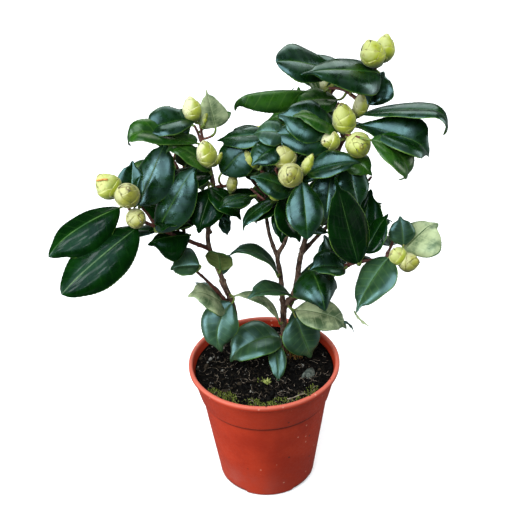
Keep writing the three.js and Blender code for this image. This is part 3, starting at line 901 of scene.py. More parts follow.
# %% Scatter the crumbs
GOLDEN_RATIO = (1 + 5**0.5) / 2
LUMP_EDGE = 1.0515
LUMP_SIGNS = [(a, b) for a in (-1, 1) for b in (-GOLDEN_RATIO, GOLDEN_RATIO)]
LUMP = unit([(0, a, b) for a, b in LUMP_SIGNS] + [(a, b, 0) for a, b in LUMP_SIGNS]
            + [(b, 0, a) for a, b in LUMP_SIGNS])


def is_lump_face(a, b, c):
    """Three corners make a face if they are neighbours and run round it seen from outside."""
    neighbours = all(abs(np.linalg.norm(LUMP[p] - LUMP[q]) - LUMP_EDGE) < 0.01
                     for p, q in ((a, b), (b, c), (c, a)))
    return neighbours and np.dot(np.cross(LUMP[b] - LUMP[a], LUMP[c] - LUMP[a]), LUMP[a]) > 0


LUMP_FACES = np.array([(a, b, c) for a in range(12) for b in range(12) for c in range(12)
                       if a < b and a < c and b != c and is_lump_face(a, b, c)])
LUMP_MAP = np.tile([[0.1, 0.1], [0.9, 0.1], [0.5, 0.9]], (len(LUMP_FACES), 1, 1))
CRUMB_SIZES = [
    # smallest, largest, how many, shares of dark, brown and grey
    (0.8, 1.8, 2300, (0.72, 0.22, 0.06)), (1.8, 3.6, 620, (0.74, 0.23, 0.03)),
    (3.5, 6.5, 80, (0.8, 0.2, 0.0))]
PLACED_BITS = [
    # x, y, size, how tall for its size, finish in the list below
    (39, -15, 15, 0.25, 3), (33, -18, 9, 0.3, 3), (-47, 11, 4.5, 0.5, 2), (-44, 14, 3.5, 0.5, 2),
    (-49, 6, 3, 0.5, 2)]


def spot_in_pot(limit=1.0):
    heading, out = random.uniform(0, 2 * math.pi), math.sqrt(random.uniform(0, 1)) * (edge - 1.5) * limit
    return out * math.cos(heading), out * math.sin(heading)


def lump(size, flat=0.7):
    """One crumb: the lump pushed out of shape and turned at random."""
    turn = np.linalg.qr(random.normal(size=(3, 3)))[0]
    turn *= np.sign(np.linalg.det(turn))
    dents = random.uniform(0.65, 1.25, (len(LUMP), 1))
    shape = LUMP * dents * random.uniform([0.6, 0.6, flat * 0.6], [1.2, 1.2, flat])
    return (shape @ turn.T) * size / 2


crumbs = Gathering()
for size_low, size_high, count, shares in CRUMB_SIZES:
    for _ in range(count):
        x, y = spot_in_pot()
        size = random.uniform(size_low, size_high)
        place = np.array([x, y, soil_height(x, y) + size * 0.12])
        crumbs.add(lump(size) + place, [(LUMP_FACES, LUMP_MAP, (0, 1), random.choice(3, p=shares))])
for x, y, size, flat, finish in PLACED_BITS:
    place = [x, y, soil_height(x, y) + 1.2]
    crumbs.add(lump(size, flat) + place, [(LUMP_FACES, LUMP_MAP, (0, 1), finish)])
crumbs.build("compost_crumbs", [dark_crumb, brown_crumb, grey_crumb, bark_chip], "soil")

# %% [markdown]
# ## Fibres
#
# Compost is full of fine, curled root fibres. Each one sets off at random, bends evenly, and rises
# a little over the crumbs in its middle. Every sixteenth is a long one, and every third is pale.
# One thicker straw lies at the front.

# %% Scatter the fibres
FIBRES, LONG_ONE_IN, PALE_ONE_IN, FIBRE_STEPS = 520, 16, 3, 8
STRAW = [(18, -47), (23, -46), (28, -43), (33, -40)]

fibres = Gathering()
for number in range(FIBRES):
    x, y = spot_in_pot(0.97)
    heading, bend = random.uniform(0, 360), random.uniform(-160, 160)
    length = random.uniform(3, 10) if number % LONG_ONE_IN else random.uniform(11, 18)
    path, spot = [], np.array([x, y])
    for step in range(FIBRE_STEPS + 1):
        if np.hypot(*spot) > edge - 1:
            break
        lift = 0.7 + 0.9 * math.sin(step / FIBRE_STEPS * math.pi) * random.uniform(0.4, 1.0)
        path.append([spot[0], spot[1], soil_height(*spot) + lift])
        spot = spot + direction(heading + bend * step / FIBRE_STEPS, 0)[:2] * length / FIBRE_STEPS
    if len(path) > 4:
        add_tube(fibres, path, np.linspace(0.14, 0.06, len(path)), 4, int(number % PALE_ONE_IN == 0))
add_tube(fibres, [(x, y, soil_height(x, y) + 1.6) for x, y in STRAW], 0.4, 6, 1)
fibres.build("root_fibres", [brown_crumb, pale_fibre], "soil")

# %% [markdown]
# ## Moss and a seedling
#
# Moss grows in low cushions near the rim, where the compost stays damp. Each stem is a short tube
# that leans its own way and ends in a point. Between them stands one small seedling weed, its leaves
# set round it by the golden angle: 137.5 degrees, the turn that most plants make from one leaf to the
# next. The buds and the leaves of the crown use it too.

# %% Plant the moss and the seedling
GOLDEN_ANGLE = 137.5
STEMS_PER_SQUARE = 2.2
MOSS_PATCHES = [
    # x, y, radius, share of rusty stems
    (-34, -47, 13, 0), (-12, -55, 12, 0), (14, -57, 14, 0), (34, -46, 9, 0), (2, -57, 9, 0), (-44, -36, 8, 0),
    (28, 14, 8, 0.75), (24, 22, 6, 0.75), (40, -34, 6, 0), (6, 44, 7, 0), (-3, -20, 4, 0)]
SEEDLING_AT, SEEDLING_LEAVES = (2, -24), 14

moss = Gathering()
for x0, y0, radius, rusty in MOSS_PATCHES:
    for _ in range(int(radius * radius * STEMS_PER_SQUARE)):
        heading, out = random.uniform(0, 360), radius * math.sqrt(random.uniform(0, 1)) * 0.95
        x, y = np.array([x0, y0]) + direction(heading, 0)[:2] * out
        if math.hypot(x, y) > edge - 0.8:
            continue
        foot = np.array([x, y, soil_height(x, y) - 0.2])
        lean = direction(random.uniform(0, 360), random.uniform(40, 85))
        tall = random.uniform(1.0, 2.6)
        path = [foot, foot + lean * tall * 0.55, foot + lean * tall]
        add_tube(moss, path, [0.32, 0.4, 0.08], 4, int(rusty > 0 and random.uniform() < rusty))
for number in range(SEEDLING_LEAVES):
    lean = direction(number * GOLDEN_ANGLE, 35 + 3 * number)
    foot = np.array([*SEEDLING_AT, soil_height(*SEEDLING_AT)])
    path = [foot, foot + lean * 2.5, foot + lean * (4.2 + number % 3)]
    add_tube(moss, path, [0.3, 0.95, 0.15], 6, 2)
moss.build("moss", [moss_green, moss_rust, weed_green], "soil")

# %% [markdown]
# ## Stems and boughs
#
# Each limb follows the same route as its solid in the frame: a handful of points with a smooth curve
# through them. Bark is real relief here, not only a pattern. Long low ridges run with the grain, the
# foot flares where it leaves the soil or its parent, and every couple of centimetres there is the
# swollen ring and half-moon scar that an old leaf left. Twigs and leaf stalks use the same tube.

# %% Routes of the limbs, and their bark
LIMBS = {
    "stem_left": dict(foot=2.6, tip=1.4, flare=1.6, bark="brown", route=[
        (-24, 20, 108), (-24, 17, 158), (-31, 12, 191), (-42, 8, 235), (-35, 8, 283), (-41, 12, 318)]),
    "bough_left_side": dict(foot=1.7, tip=1.1, flare=0.5, bark="red", route=[
        (-28, 15, 168), (-42, 4, 196), (-52, -7, 216)]),
    "bough_left": dict(foot=1.8, tip=1.2, flare=0.5, bark="red", route=[
        (-41, 9, 227), (-63, -4, 246), (-83, -18, 266), (-94, -23, 276)]),
    "bough_back_left": dict(foot=1.8, tip=1.2, flare=0.5, bark="brown", route=[
        (-40, 7, 243), (-50, 30, 256), (-62, 56, 268)]),
    "stem_right": dict(foot=3.0, tip=2.7, flare=1.8, bark="brown", route=[
        (19, 24, 108), (18, 21, 138), (18, 15, 168)]),
    "bough_middle": dict(foot=2.3, tip=1.4, flare=0.4, bark="brown", route=[
        (18, 17, 160), (16, 9, 199), (14, 4, 221), (21, 0, 241), (25, -12, 285)]),
    "bough_middle_back": dict(foot=1.7, tip=1.2, flare=0.3, bark="brown", route=[
        (14, 4, 219), (7, 12, 241), (6, 34, 262), (14, 58, 272)]),
    "bough_right": dict(foot=2.6, tip=1.4, flare=0.4, bark="brown", route=[
        (18, 17, 161), (28, 11, 183), (33, 7, 220), (47, 5, 271), (65, 1, 324), (80, 17, 358)]),
    "bough_back_right": dict(foot=1.8, tip=1.2, flare=0.4, bark="brown", route=[
        (32, 6, 220), (52, 24, 232), (76, 50, 240)]),
    "bough_back_top": dict(foot=1.7, tip=1.2, flare=0.4, bark="brown", route=[
        (49, 3, 279), (50, 24, 300), (52, 48, 316)]),
    "bough_low_right": dict(foot=1.6, tip=1.2, flare=0.4, bark="red", route=[
        (22, 14, 170), (34, 8, 182), (50, -2, 204), (70, -12, 221), (98, -24, 233)]),
}
RING_STEP, LIMB_SIDES, NODE_SPACING = 1.4, 16, 19
FLARE_REACH, RIDGE_DEPTH, KNOB_DEPTH = 4.5, 0.13, 0.08
RING_REACH, RING_HEIGHT, SCAR_WIDTH, SCAR_HEIGHT = 1.3, 0.10, 0.7, 0.34


def bark_relief(along, angles, waves_round, waves_along, shift):
    """Noise over the bark, at every point along a limb and every side of it."""
    return np.array([[noise.noise(Vector((
        math.cos(a) * waves_round, math.sin(a) * waves_round + shift, s * waves_along)))
        for a in angles] for s in along])


def woody_radii(path, foot, tip, flare, seed, sides=LIMB_SIDES, spacing=NODE_SPACING):
    """A radius for every point and side: taper, foot flare, ridges, rings and leaf scars."""
    along = length_along(path)
    taper = foot + (tip - foot) * along / along[-1] + flare * np.exp(-along / FLARE_REACH)
    angles = np.arange(sides) * 2 * math.pi / sides
    ridges = bark_relief(along, angles, 2.4, 0.16, seed)
    knobs = bark_relief(along, angles, 1.4, 0.6, -seed)
    radii = taper[:, None] * (1 + RIDGE_DEPTH * ridges + KNOB_DEPTH * knobs)
    for number, stop in enumerate(np.arange(spacing * 0.6, along[-1], spacing)):
        near = np.exp(-((along - stop) / RING_REACH) ** 2)[:, None]
        off_scar = np.angle(np.exp(1j * (angles - math.radians(GOLDEN_ANGLE) * number)))
        scar = np.exp(-(off_scar / SCAR_WIDTH) ** 2)[None, :]
        radii = radii + taper[:, None] * near * (RING_HEIGHT + SCAR_HEIGHT * scar)
    return radii


print(len(LIMBS), "limbs, with", sum(len(limb["route"]) for limb in LIMBS.values()), "route points")


# %% [markdown]
# ## Growing the limbs
#
# The limbs with brown bark become one mesh and those with red bark another, and each mesh stands for
# several solids of the frame. Every point of wood is also remembered, because the stalks of the
# leaves look for the nearest one further down.

# %% Grow the limbs
bark_gatherings = {"brown": Gathering(), "red": Gathering()}
wood_points = []
for seed, (name, limb) in enumerate(LIMBS.items()):
    path = smooth_path(limb["route"], RING_STEP)
    radii = woody_radii(path, limb["foot"], limb["tip"], limb["flare"], seed * 7.3)
    add_tube(bark_gatherings[limb["bark"]], path, radii, LIMB_SIDES)
    wood_points.append(path)
    print(name, round(float(np.linalg.norm(np.diff(path, axis=0), axis=1).sum())), "mm")
for shade, finish, slot_name in (("brown", brown_bark, "bark"), ("red", red_bark, "young_bark")):
    nodes = [name for name, limb in LIMBS.items() if limb["bark"] == shade]
    bark_gatherings[shade].build(f"{shade}_limbs", [finish], slot_name, nodes)

# %% [markdown]
# ## The shape of one leaf
#
# A camellia leaf is an ellipse that runs out into a narrow drip tip. It is folded a little along a
# sunken midrib, its margins curl under, and fine teeth point forward along the edge. The leaf is
# walked from its foot to its tip: at each station the frame of three directions (ahead, right and
# up) turns a little, which bends the blade, and a row of points is laid across it. Between the side
# veins the surface swells, so light breaks up as it does on the real one.

# %% The leaf
STATIONS = 46
LAST_THIRD, TIP_SHARE = 0.66, 0.2


def turn_about(v, axis, degrees):
    angle = math.radians(degrees)
    turned = v * math.cos(angle) + np.cross(axis, v) * math.sin(angle)
    return turned + axis * axis.dot(v) * (1 - math.cos(angle))


def leaf(base, heading, rise, length, width, roll=0, droop=25, tip=10, sway=0, fold=12, cup=-12, tone="deep",
         widest=0.42, drawn_out=0.42):
    """A leaf's sizes. Angles are in degrees; droop bends it all along, and tip bends its last third.
    widest says where along its length it is broadest, and drawn_out how narrow its drip tip is."""
    return dict(
        base=np.array(base, float), heading=heading, rise=rise, length=length, width=width, roll=roll,
        droop=droop, tip=tip, sway=sway, fold=fold, cup=cup, tone=tone, widest=widest, drawn_out=drawn_out)


def half_width(share, form):
    """Half the leaf's width along its length, as a share of the widest place."""
    fullness = 0.55 + 0.7 * form["drawn_out"]
    ellipse = np.sin(np.pi * np.clip(share, 0, 1) ** (math.log(0.5) / math.log(form["widest"]))) ** fullness
    tip_share = np.clip((share - (1 - TIP_SHARE)) / TIP_SHARE, 0, 1)
    return ellipse * (1 - form["drawn_out"] * np.sin(np.pi * tip_share))


def walk_leaf(form, stations=STATIONS):
    """The leaf's middle line, with its right-hand and upward directions at each station."""
    ahead = direction(form["heading"], form["rise"])
    level = math.radians(form["heading"])
    side = turn_about(np.array([math.sin(level), -math.cos(level), 0]), ahead, form["roll"])
    place, line = form["base"].copy(), []
    for share in np.linspace(0, 1, stations + 1):
        line.append((place, side, np.cross(side, ahead)))
        bend = form["droop"] / stations + (form["tip"] / stations / 0.34 if share > LAST_THIRD else 0)
        ahead = turn_about(ahead, side, -bend)
        up = np.cross(side, ahead)
        sway = form["sway"] / stations
        ahead, side = turn_about(ahead, up, sway), turn_about(side, up, sway)
        place = place + ahead * form["length"] / stations
    return (np.array(part) for part in zip(*line))


print("a leaf is walked in", STATIONS, "steps")

# %% [markdown]
# ## A thin solid from two grids
#
# A leaf and a bud's scale are both thin: a grid of points above, a matching grid below, and a narrow
# wall round the rim that joins them. Because the sheet is closed, it's a solid with a real edge, and
# its two sides can wear different finishes.

# %% Helper: close two grids into one thin solid
COLUMNS = np.array([-1, -.965, -.87, -.7, -.5, -.3, -.13, -.024, 0, .024, .13, .3, .5, .7, .87, .965, 1])
UPPER_STRIP, WALL_STRIP, LOWER_STRIP = (0, 0.48), (0.487, 0.513), (0.52, 1)


def closed_sheet(upper, lower, upper_finish, lower_finish, wall_finish):
    """Two matching grids of points joined round their rim into a closed solid, with its maps."""
    rows, columns = upper.shape[:2]
    i, j = np.meshgrid(np.arange(rows - 1), np.arange(columns - 1), indexing="ij")
    i, j = i.ravel(), j.ravel()
    start = i * columns + j
    quads = np.stack([start, start + 1, start + columns + 1, start + columns], 1)
    across = COLUMNS if columns == len(COLUMNS) else np.linspace(-1, 1, columns)
    places = np.stack(np.meshgrid((across + 1) / 2, np.linspace(0, 1, rows)), -1).reshape(-1, 2)
    total = rows * columns
    rim = np.concatenate([
        np.arange(columns - 1), np.arange(rows - 1) * columns + columns - 1,
        (rows - 1) * columns + np.arange(columns - 1, 0, -1), np.arange(rows - 1, 0, -1) * columns])
    ahead = np.roll(rim, -1)
    walls = np.stack([rim, rim + total, ahead + total, ahead], 1)
    y, y2 = np.arange(len(rim)) / len(rim), np.arange(1, len(rim) + 1) / len(rim)
    zero, one = np.zeros(len(rim)), np.ones(len(rim))
    wall_map = np.stack([np.stack(p, 1) for p in ((zero, y), (one, y), (one, y2), (zero, y2))], 1)
    corners = np.concatenate([upper.reshape(-1, 3), lower.reshape(-1, 3)])
    under = quads[:, ::-1]
    return corners, [
        (quads, places[quads], UPPER_STRIP, upper_finish),
        (under + total, places[under], LOWER_STRIP, lower_finish), (walls, wall_map, WALL_STRIP, wall_finish)]


print("a leaf is", len(COLUMNS), "points wide")

# %% [markdown]
# ## The surface of a leaf
#
# Across the walked line goes a row of points at each station. The row is lifted by its fold, by the
# swelling between the side veins, by a slow wave in the margin and by the groove over the midrib.
# The margin steps in and out a little from one station to the next, which gives the fine teeth.

# %% The surface of a leaf
BLADE_THICKNESS, MIDRIB_SHARE, EDGE_SHARE = 0.42, 0.025, 0.965
TOOTH, QUILT, WAVE, GROOVE, RIB = 0.3, 0.13, 0.5, 0.3, 0.55
NARROWEST = 0.35
MARGIN_FROM, MARGIN_CURL = 0.72, 26


def leaf_grid(form, phase=0.0, stations=STATIONS):
    """The upper and lower faces of a leaf as grids of points."""
    share = np.linspace(0, 1, stations + 1)[:, None]
    places, sides, ups = walk_leaf(form, stations)
    wide_share = half_width(share, form)
    wide = np.maximum(wide_share * form["width"] / 2, NARROWEST)
    toothed = (share > 0.14) & (share < 0.95)
    wide = wide + np.where(toothed, TOOTH * (np.arange(stations + 1)[:, None] % 2 - 0.5), 0)
    across = np.abs(COLUMNS)[None, :]
    curl = MARGIN_CURL * np.clip(across - MARGIN_FROM, 0, 1)
    angle = np.radians(form["fold"] + form["cup"] * across - curl)
    out = across * wide
    swept = (share - VEIN_SLANT * across) * VEIN_PAIRS
    swell = QUILT * np.abs(np.sin(np.pi * swept)) ** 0.7 * np.sin(np.pi * across ** 0.8) * wide_share
    waves = WAVE * across**3 * np.sin(2 * np.pi * (2.6 * share + phase + 0.3 * np.sign(COLUMNS))) * wide_share
    groove = -GROOVE * np.exp(-(across / 0.045) ** 2) * np.sin(np.pi * np.clip(share, 0, 1) ** 0.6)
    lift = out * np.sin(angle) + swell + waves + groove
    grid = places[:, None] + sides[:, None] * (np.sign(COLUMNS) * out * np.cos(angle))[..., None] \
        + ups[:, None] * lift[..., None]
    normal = unit(np.cross(np.gradient(grid, axis=1), np.gradient(grid, axis=0)) + 1e-9)
    rib = np.where(across < MIDRIB_SHARE + 0.01, RIB * (1 - 0.8 * share), 0)
    thin = BLADE_THICKNESS * (1 - 0.4 * across**4) / 2
    return grid + normal * thin[..., None], grid - normal * (thin + rib)[..., None]


def add_leaf(gathering, form, phase, stations=STATIONS):
    upper, lower = leaf_grid(form, phase, stations)
    face, back = TONES[form["tone"]]
    middle = np.abs((COLUMNS[1:] + COLUMNS[:-1]) / 2)
    over = np.where(middle < MIDRIB_SHARE, MIDRIB, np.where(middle > EDGE_SHARE, EDGE, face))
    below = np.where(middle < MIDRIB_SHARE, MIDRIB, back)
    gathering.add(*closed_sheet(upper, lower, np.tile(over, stations), np.tile(below, stations), EDGE))


print("a blade is", BLADE_THICKNESS, "mm thick in the middle")

# %% [markdown]
# ## The leaves that show
#
# The leaves on the near side of the plant are set one by one, as a bonsai grower wires a branch,
# because their sweep is what makes this plant and no other. Each row gives the foot of the blade,
# the way it heads and rises, its length and width, how it rolls, and how it bends. Leaves low on
# the stems are last year's, so they are paler and duller. Each set belongs to one mass in the frame.

# %% Set the leaves
SET_LEAVES = {
    "foliage_left": [
        leaf((-105, -22, 284), 206, -5, 66, 46, roll=-18, tip=20, sway=14, fold=-10, widest=0.5,
             drawn_out=0.15, tone="dark"),
        leaf((-92, -32, 272), 222, -14, 76, 44, roll=-27, droop=22, fold=-2, widest=0.5, drawn_out=0.02,
             tone="dark"),
        leaf((-99, -8, 280), 70, 70, 33, 24, roll=25, droop=15, fold=20, cup=-5),
        leaf((-92, -10, 279), 22, 63, 56, 38, roll=30, droop=15, tip=15, sway=10, fold=0),
    ],
    "foliage_left_inner": [
        leaf((-79, -22, 262), 10, 60, 63, 35, roll=42, droop=15, tip=20, sway=5, fold=0),
        leaf((-81, -6, 253), 135, -10, 45, 30, tip=20),
        leaf((-55, -4, 248), 205, 16, 36, 40, roll=-22, droop=30, tip=30, fold=-5, cup=-35, tone="dark"),
        leaf((-62, 2, 250), 245, 60, 44, 30, roll=10, droop=60, tip=20, tone="dark"),
        leaf((-48, 6, 262), 215, 20, 46, 30, roll=-10, droop=40, tip=20, tone="dark"),
        leaf((-56, 4, 252), 150, 30, 48, 30, droop=40, tone="dark"),
    ],
    "foliage_upper_left": [
        leaf((-45, 16, 338), 218, 18, 44, 28, roll=-30, droop=40, tip=35, fold=28, widest=0.58,
             drawn_out=0.2),
        leaf((-45, 6, 322), 204, 30, 66, 25, roll=-30, droop=25, tip=130, fold=30, widest=0.55,
             tone="fresh"),
        leaf((-31, 14, 331), 182, 80, 32, 24, roll=-88, droop=-5, fold=10, cup=-8, widest=0.24,
             drawn_out=0.6, tone="pale"),
        leaf((-36, -2, 303), 200, 60, 46, 24, roll=-25, droop=45, tip=100, tone="fresh"),
        leaf((-28, 0, 299), 8, 50, 38, 32, roll=50, droop=20, tip=20, sway=-10, fold=5),
        leaf((-36, 4, 296), 190, 10, 40, 28, roll=-15, droop=30, tip=20, tone="dark"),
        leaf((-38, 2, 286), 330, -20, 36, 26, droop=30, tip=20, tone="dark"),
        leaf((-36, 4, 284), 250, -25, 38, 30, roll=-10, droop=30, tip=20, tone="dark"),
        leaf((-31, 6, 275), 10, 4, 34, 16, roll=25, droop=15, tip=10, tone="dark"),
        leaf((-33, 2, 278), 310, -40, 22, 18, roll=10, droop=15, tip=10),
        leaf((-29, 2, 262), 310, -62, 18, 12, droop=15, tip=30),
    ],
    "foliage_centre": [
        leaf((32, -34, 307), 275, -30, 44, 28, droop=35, tip=10, fold=10, cup=-14, widest=0.52,
             drawn_out=0.15),
        leaf((27, -30, 297), 184, 36, 36, 26, roll=-22, droop=25, tip=20, fold=6, cup=-16),
        leaf((15, -14, 328), 220, -10, 26, 24, roll=-20, droop=20, tip=20),
        leaf((22, -8, 333), 190, 30, 26, 26, roll=-30, droop=60, tip=20, tone="aged"),
        leaf((12, 5, 328), 175, 0, 46, 26, roll=-15, tip=10, sway=-15, fold=10),
        leaf((36, -27, 310), 345, 30, 42, 25, roll=28, droop=30, tip=20, fold=38, cup=-20),
        leaf((12, -15, 282), 200, -5, 36, 21, roll=5, droop=50, tip=40),
        leaf((18, -8, 278), 185, -10, 34, 30, droop=35, tip=20, tone="dark"),
        leaf((17, -18, 286), 320, -45, 38, 33, droop=30, tip=10, tone="dark"),
        leaf((21, -10, 280), 255, -45, 34, 20, droop=20, tip=10, tone="dark"),
    ],
    "foliage_top_right": [
        leaf((58, -8, 327), 190, 20, 50, 31, roll=-38, tip=15, fold=9),
        leaf((56, -4, 336), 186, 26, 42, 36, roll=-44, droop=30, tip=15, fold=12),
        leaf((78, 2, 343), 351, 15, 79, 29, roll=-1, droop=26, tip=115, fold=15, widest=0.55,
             drawn_out=0.05),
        leaf((74, 0, 336), 324, 4, 66, 40, roll=20, droop=45, tip=50, sway=22, fold=34, widest=0.62),
        leaf((83, -24, 334), 345, -8, 50, 36, roll=14, droop=75, tip=80, sway=-16, fold=24,
             drawn_out=0.6, tone="olive"),
        leaf((86, 20, 343), 45, 60, 28, 34, droop=10, tip=20),
        leaf((62, 2, 332), 200, 45, 40, 30, roll=-20, droop=40, tip=20, tone="fresh"),
        leaf((70, 4, 330), 150, 40, 46, 30, droop=40, tip=20),
    ],
    "foliage_top": [
        leaf((67, 18, 369), 210, 28, 60, 35, roll=-38, droop=15, tip=20, fold=14, widest=0.68,
             drawn_out=0.05),
        leaf((93, 18, 369), 214, 21, 71, 42, roll=-26, droop=18, fold=8, cup=-20, widest=0.28,
             drawn_out=0.6),
        leaf((48, 24, 353), 194, 14, 79, 34, roll=-30, droop=48, tip=75, sway=-10, fold=-40, tone="olive"),
        leaf((62, 20, 348), 200, 20, 36, 30, roll=-20, droop=40, tip=30, tone="fresh"),
        leaf((72, 16, 356), 60, 35, 34, 28, droop=30),
    ],
    "foliage_right_top": [
        leaf((55, -16, 305), 252, -50, 36, 28, droop=30, tip=10),
        leaf((67, -18, 312), 295, -45, 35, 27, tip=10),
        leaf((66, -10, 316), 320, -10, 26, 22, roll=20, droop=30, tip=20, tone="fresh"),
        leaf((60, -8, 300), 280, -50, 34, 28, droop=20),
    ],
    "foliage_right": [
        leaf((75, -34, 235), 196, 75, 82, 33, roll=-88, droop=-8, fold=8, cup=-8, widest=0.36,
             drawn_out=0.6, tone="dark"),
        leaf((82, -20, 236), 20, 65, 36, 28, droop=10, tone="dark"),
        leaf((60, -4, 211), 132, 82, 31, 30, droop=30),
        leaf((66, -20, 222), 195, 30, 30, 34, roll=-10, droop=40, tip=30, fold=35, cup=-15),
        leaf((69, -8, 232), 90, 75, 44, 26, droop=15),
        leaf((78, -10, 232), 60, 70, 50, 32, roll=10, droop=15, tone="dark"),
    ],
    "foliage_far_right": [
        leaf((99, -30, 237), 216, -35, 50, 42, roll=10, droop=20, fold=12, widest=0.33, drawn_out=0.5,
             tone="aged"),
        leaf((111, -24, 244), 100, 71, 23, 22, droop=20, tone="aged"),
        leaf((112, -22, 238), 25, 44, 36, 48, roll=0, droop=20, tip=40, cup=-20, tone="pale"),
        leaf((71.5, -50, 202), 350, -74, 18, 3.4, droop=-50, widest=0.5, drawn_out=0.1, tone="pale"),
    ],
    "foliage_low_right": [
        leaf((40, -6, 214), 281, 12, 44, 52, roll=6, droop=70, tip=20, fold=-2, cup=-36, widest=0.17,
             drawn_out=0.1),
        leaf((28, 8, 165), 342, 8, 50, 34, roll=16, droop=45, tip=40, fold=16, tone="pale"),
        leaf((28, 10, 156), 300, -51, 40, 36, roll=10, tip=20, sway=10, fold=10, tone="aged"),
        leaf((66, 3, 156), 335, 5, 16, 3, droop=80, tip=10),
    ],
    "foliage_low_left": [
        leaf((-31, 6, 171), 221, 62, 43, 36, roll=-30, droop=45, tip=60, fold=10, tone="pale"),
        leaf((-25, 2, 178), 215, -24, 47, 34, roll=-30, droop=50, tip=20, sway=60, fold=10, tone="aged"),
    ],
    "foliage_low_front": [
        leaf((15, 14, 132), 214, 36, 57, 40, roll=-18, droop=98, tip=20, fold=26, tone="aged"),
        leaf((8, 6, 133), 290, -21, 37, 15, roll=20, droop=20, tip=25, sway=-32, fold=18, tone="aged"),
        leaf((14, 12, 150), 183, 86, 58, 18, droop=95, tip=20, tone="pale"),
    ],
    "foliage_middle": [
        leaf((24, 0, 184), 213, 50, 46, 26, roll=-5, droop=60, tip=15, fold=32, tone="aged"),
        leaf((13, 0, 205), 197, 80, 54, 24, roll=-10, droop=85, tip=40, fold=25, tone="aged"),
    ],
    "foliage_left_side": [
        leaf((-49, -8, 222), 185, 8, 24, 40, roll=-5, droop=20, tip=20, fold=32, tone="aged"),
        leaf((-33, 0, 212), 30, 85, 28, 24, roll=-140, droop=50, tip=40, tone="olive"),
    ],
}
print(sum(len(rows) for rows in SET_LEAVES.values()), "leaves set one by one")

# %% [markdown]
# ## Shoots
#
# A limb of the frame stops where it enters its mass. From there this year's shoot carries on, thin
# and reddish, to the buds. The shoots are short routes of their own, like the limbs, and they use
# the same bark at a smaller scale.

# %% Grow this year's shoots
SHOOTS = {
    "foliage_left": [
        [(-94, -23, 276), (-99, -21, 284), (-103, -20, 291)],
        [(-90, -21, 272), (-94, -24, 276)]],
    "foliage_left_inner": [[(-60, -2, 244), (-60, 4, 252), (-58, 10, 262)]],
    "foliage_upper_left": [
        [(-41, 12, 318), (-42, 14, 328), (-43, 15, 336)],
        [(-38, 10, 296), (-38, 1, 304), (-37, -4, 309)],
        [(-35, 8, 283), (-29, 4, 286), (-24, 3, 287)]],
    "foliage_centre": [
        [(25, -12, 285), (26, -18, 296), (26, -22, 304)],
        [(23, -8, 275), (12, -4, 290), (2, -1, 302)]],
    "foliage_top_right": [
        [(62, 2, 316), (66, -3, 326), (66, -6, 331)],
        [(68, 4, 334), (74, 6, 338), (77, 7, 340)]],
    "foliage_top": [
        [(80, 17, 358), (86, 18, 367), (91, 20, 373)],
        [(76, 14, 351), (66, 20, 356), (56, 24, 356)]],
    "foliage_right_top": [[(60, 2, 310), (60, -8, 310), (62, -15, 310)]],
    "foliage_right": [[(62, -8, 216), (66, -14, 220), (72, -20, 226), (78, -26, 232)]],
    "foliage_far_right": [[(98, -24, 233), (102, -28, 236), (105, -28, 238)]],
    "foliage_low_right": [[(34, 8, 182), (38, 4, 198), (39, 0, 208)]],
    "foliage_low_front": [[(18, 21, 130), (14, 17, 132), (8, 12, 132)]],
}
SHOOT_STEP, SHOOT_SIDES, SHOOT_FLARE, SHOOT_NODE_SPACING = 1.2, 10, 0.3, 9
twigs = Gathering()


def grow_shoot(route, foot=1.25, tip=1.0):
    """Adds a shoot along a route and remembers where its wood is."""
    path = smooth_path(route, SHOOT_STEP)
    seed = len(wood_points) * 3.1
    radii = woody_radii(path, foot, tip, SHOOT_FLARE, seed, SHOOT_SIDES, SHOOT_NODE_SPACING)
    add_tube(twigs, path, radii, SHOOT_SIDES)
    wood_points.append(path)
    return path


for routes in SHOOTS.values():
    for route in routes:
        grow_shoot(route)
print(len(wood_points), "limbs and shoots")

# %% [markdown]
# ## Two rules for the leaves that fill the crown
#
# Behind the leaves that were set, the crown has to be full from every side, yet the sky must still
# show through its gaps from the front. So a leaf that grows by itself is kept only if two things
# hold. Nearly all of it lies behind leaves that already stand between it and the bench, or in one of
# a few deep shady places; and it doesn't pass through a leaf that is there already. The first rule
# keeps a coarse picture of what is covered from the front, in cells of 2 mm. The second keeps a
# coarse block of space, in cells of 3 mm.

# %% Rules: hidden from the front, and room to grow
VIEW_CELL, VIEW_REACH = 2.0, 260
SPACE_CELL, SPACE_CELLS = 3.0, (140, 110, 160)
PLANE_AWAY = 850.0
CROWN_MIDDLE = np.array([0.0, 0.0, 260.0])
SPACE_CORNER = np.array([-210.0, -160.0, 80.0])
SPARSE_STATIONS = 30
covered = np.zeros((VIEW_REACH, VIEW_REACH), bool)
taken = np.zeros(SPACE_CELLS, bool)


def from_front(points):
    """Where points appear from the camera, in cells, on a plane through the middle of the crown."""
    away = points - CAMERA_AT
    middle = CROWN_MIDDLE - CAMERA_AT
    depth = away @ camera_ahead
    flat = np.stack([away @ camera_right, away @ camera_up], 1) / depth[:, None] * PLANE_AWAY
    flat -= np.array([middle @ camera_right, middle @ camera_up]) / (middle @ camera_ahead) * PLANE_AWAY
    return np.clip((flat / VIEW_CELL + VIEW_REACH / 2).astype(int), 0, VIEW_REACH - 1)


def space_cells(points):
    cells = ((points - SPACE_CORNER) / SPACE_CELL).astype(int)
    return np.clip(cells, 1, np.array(SPACE_CELLS) - 2)


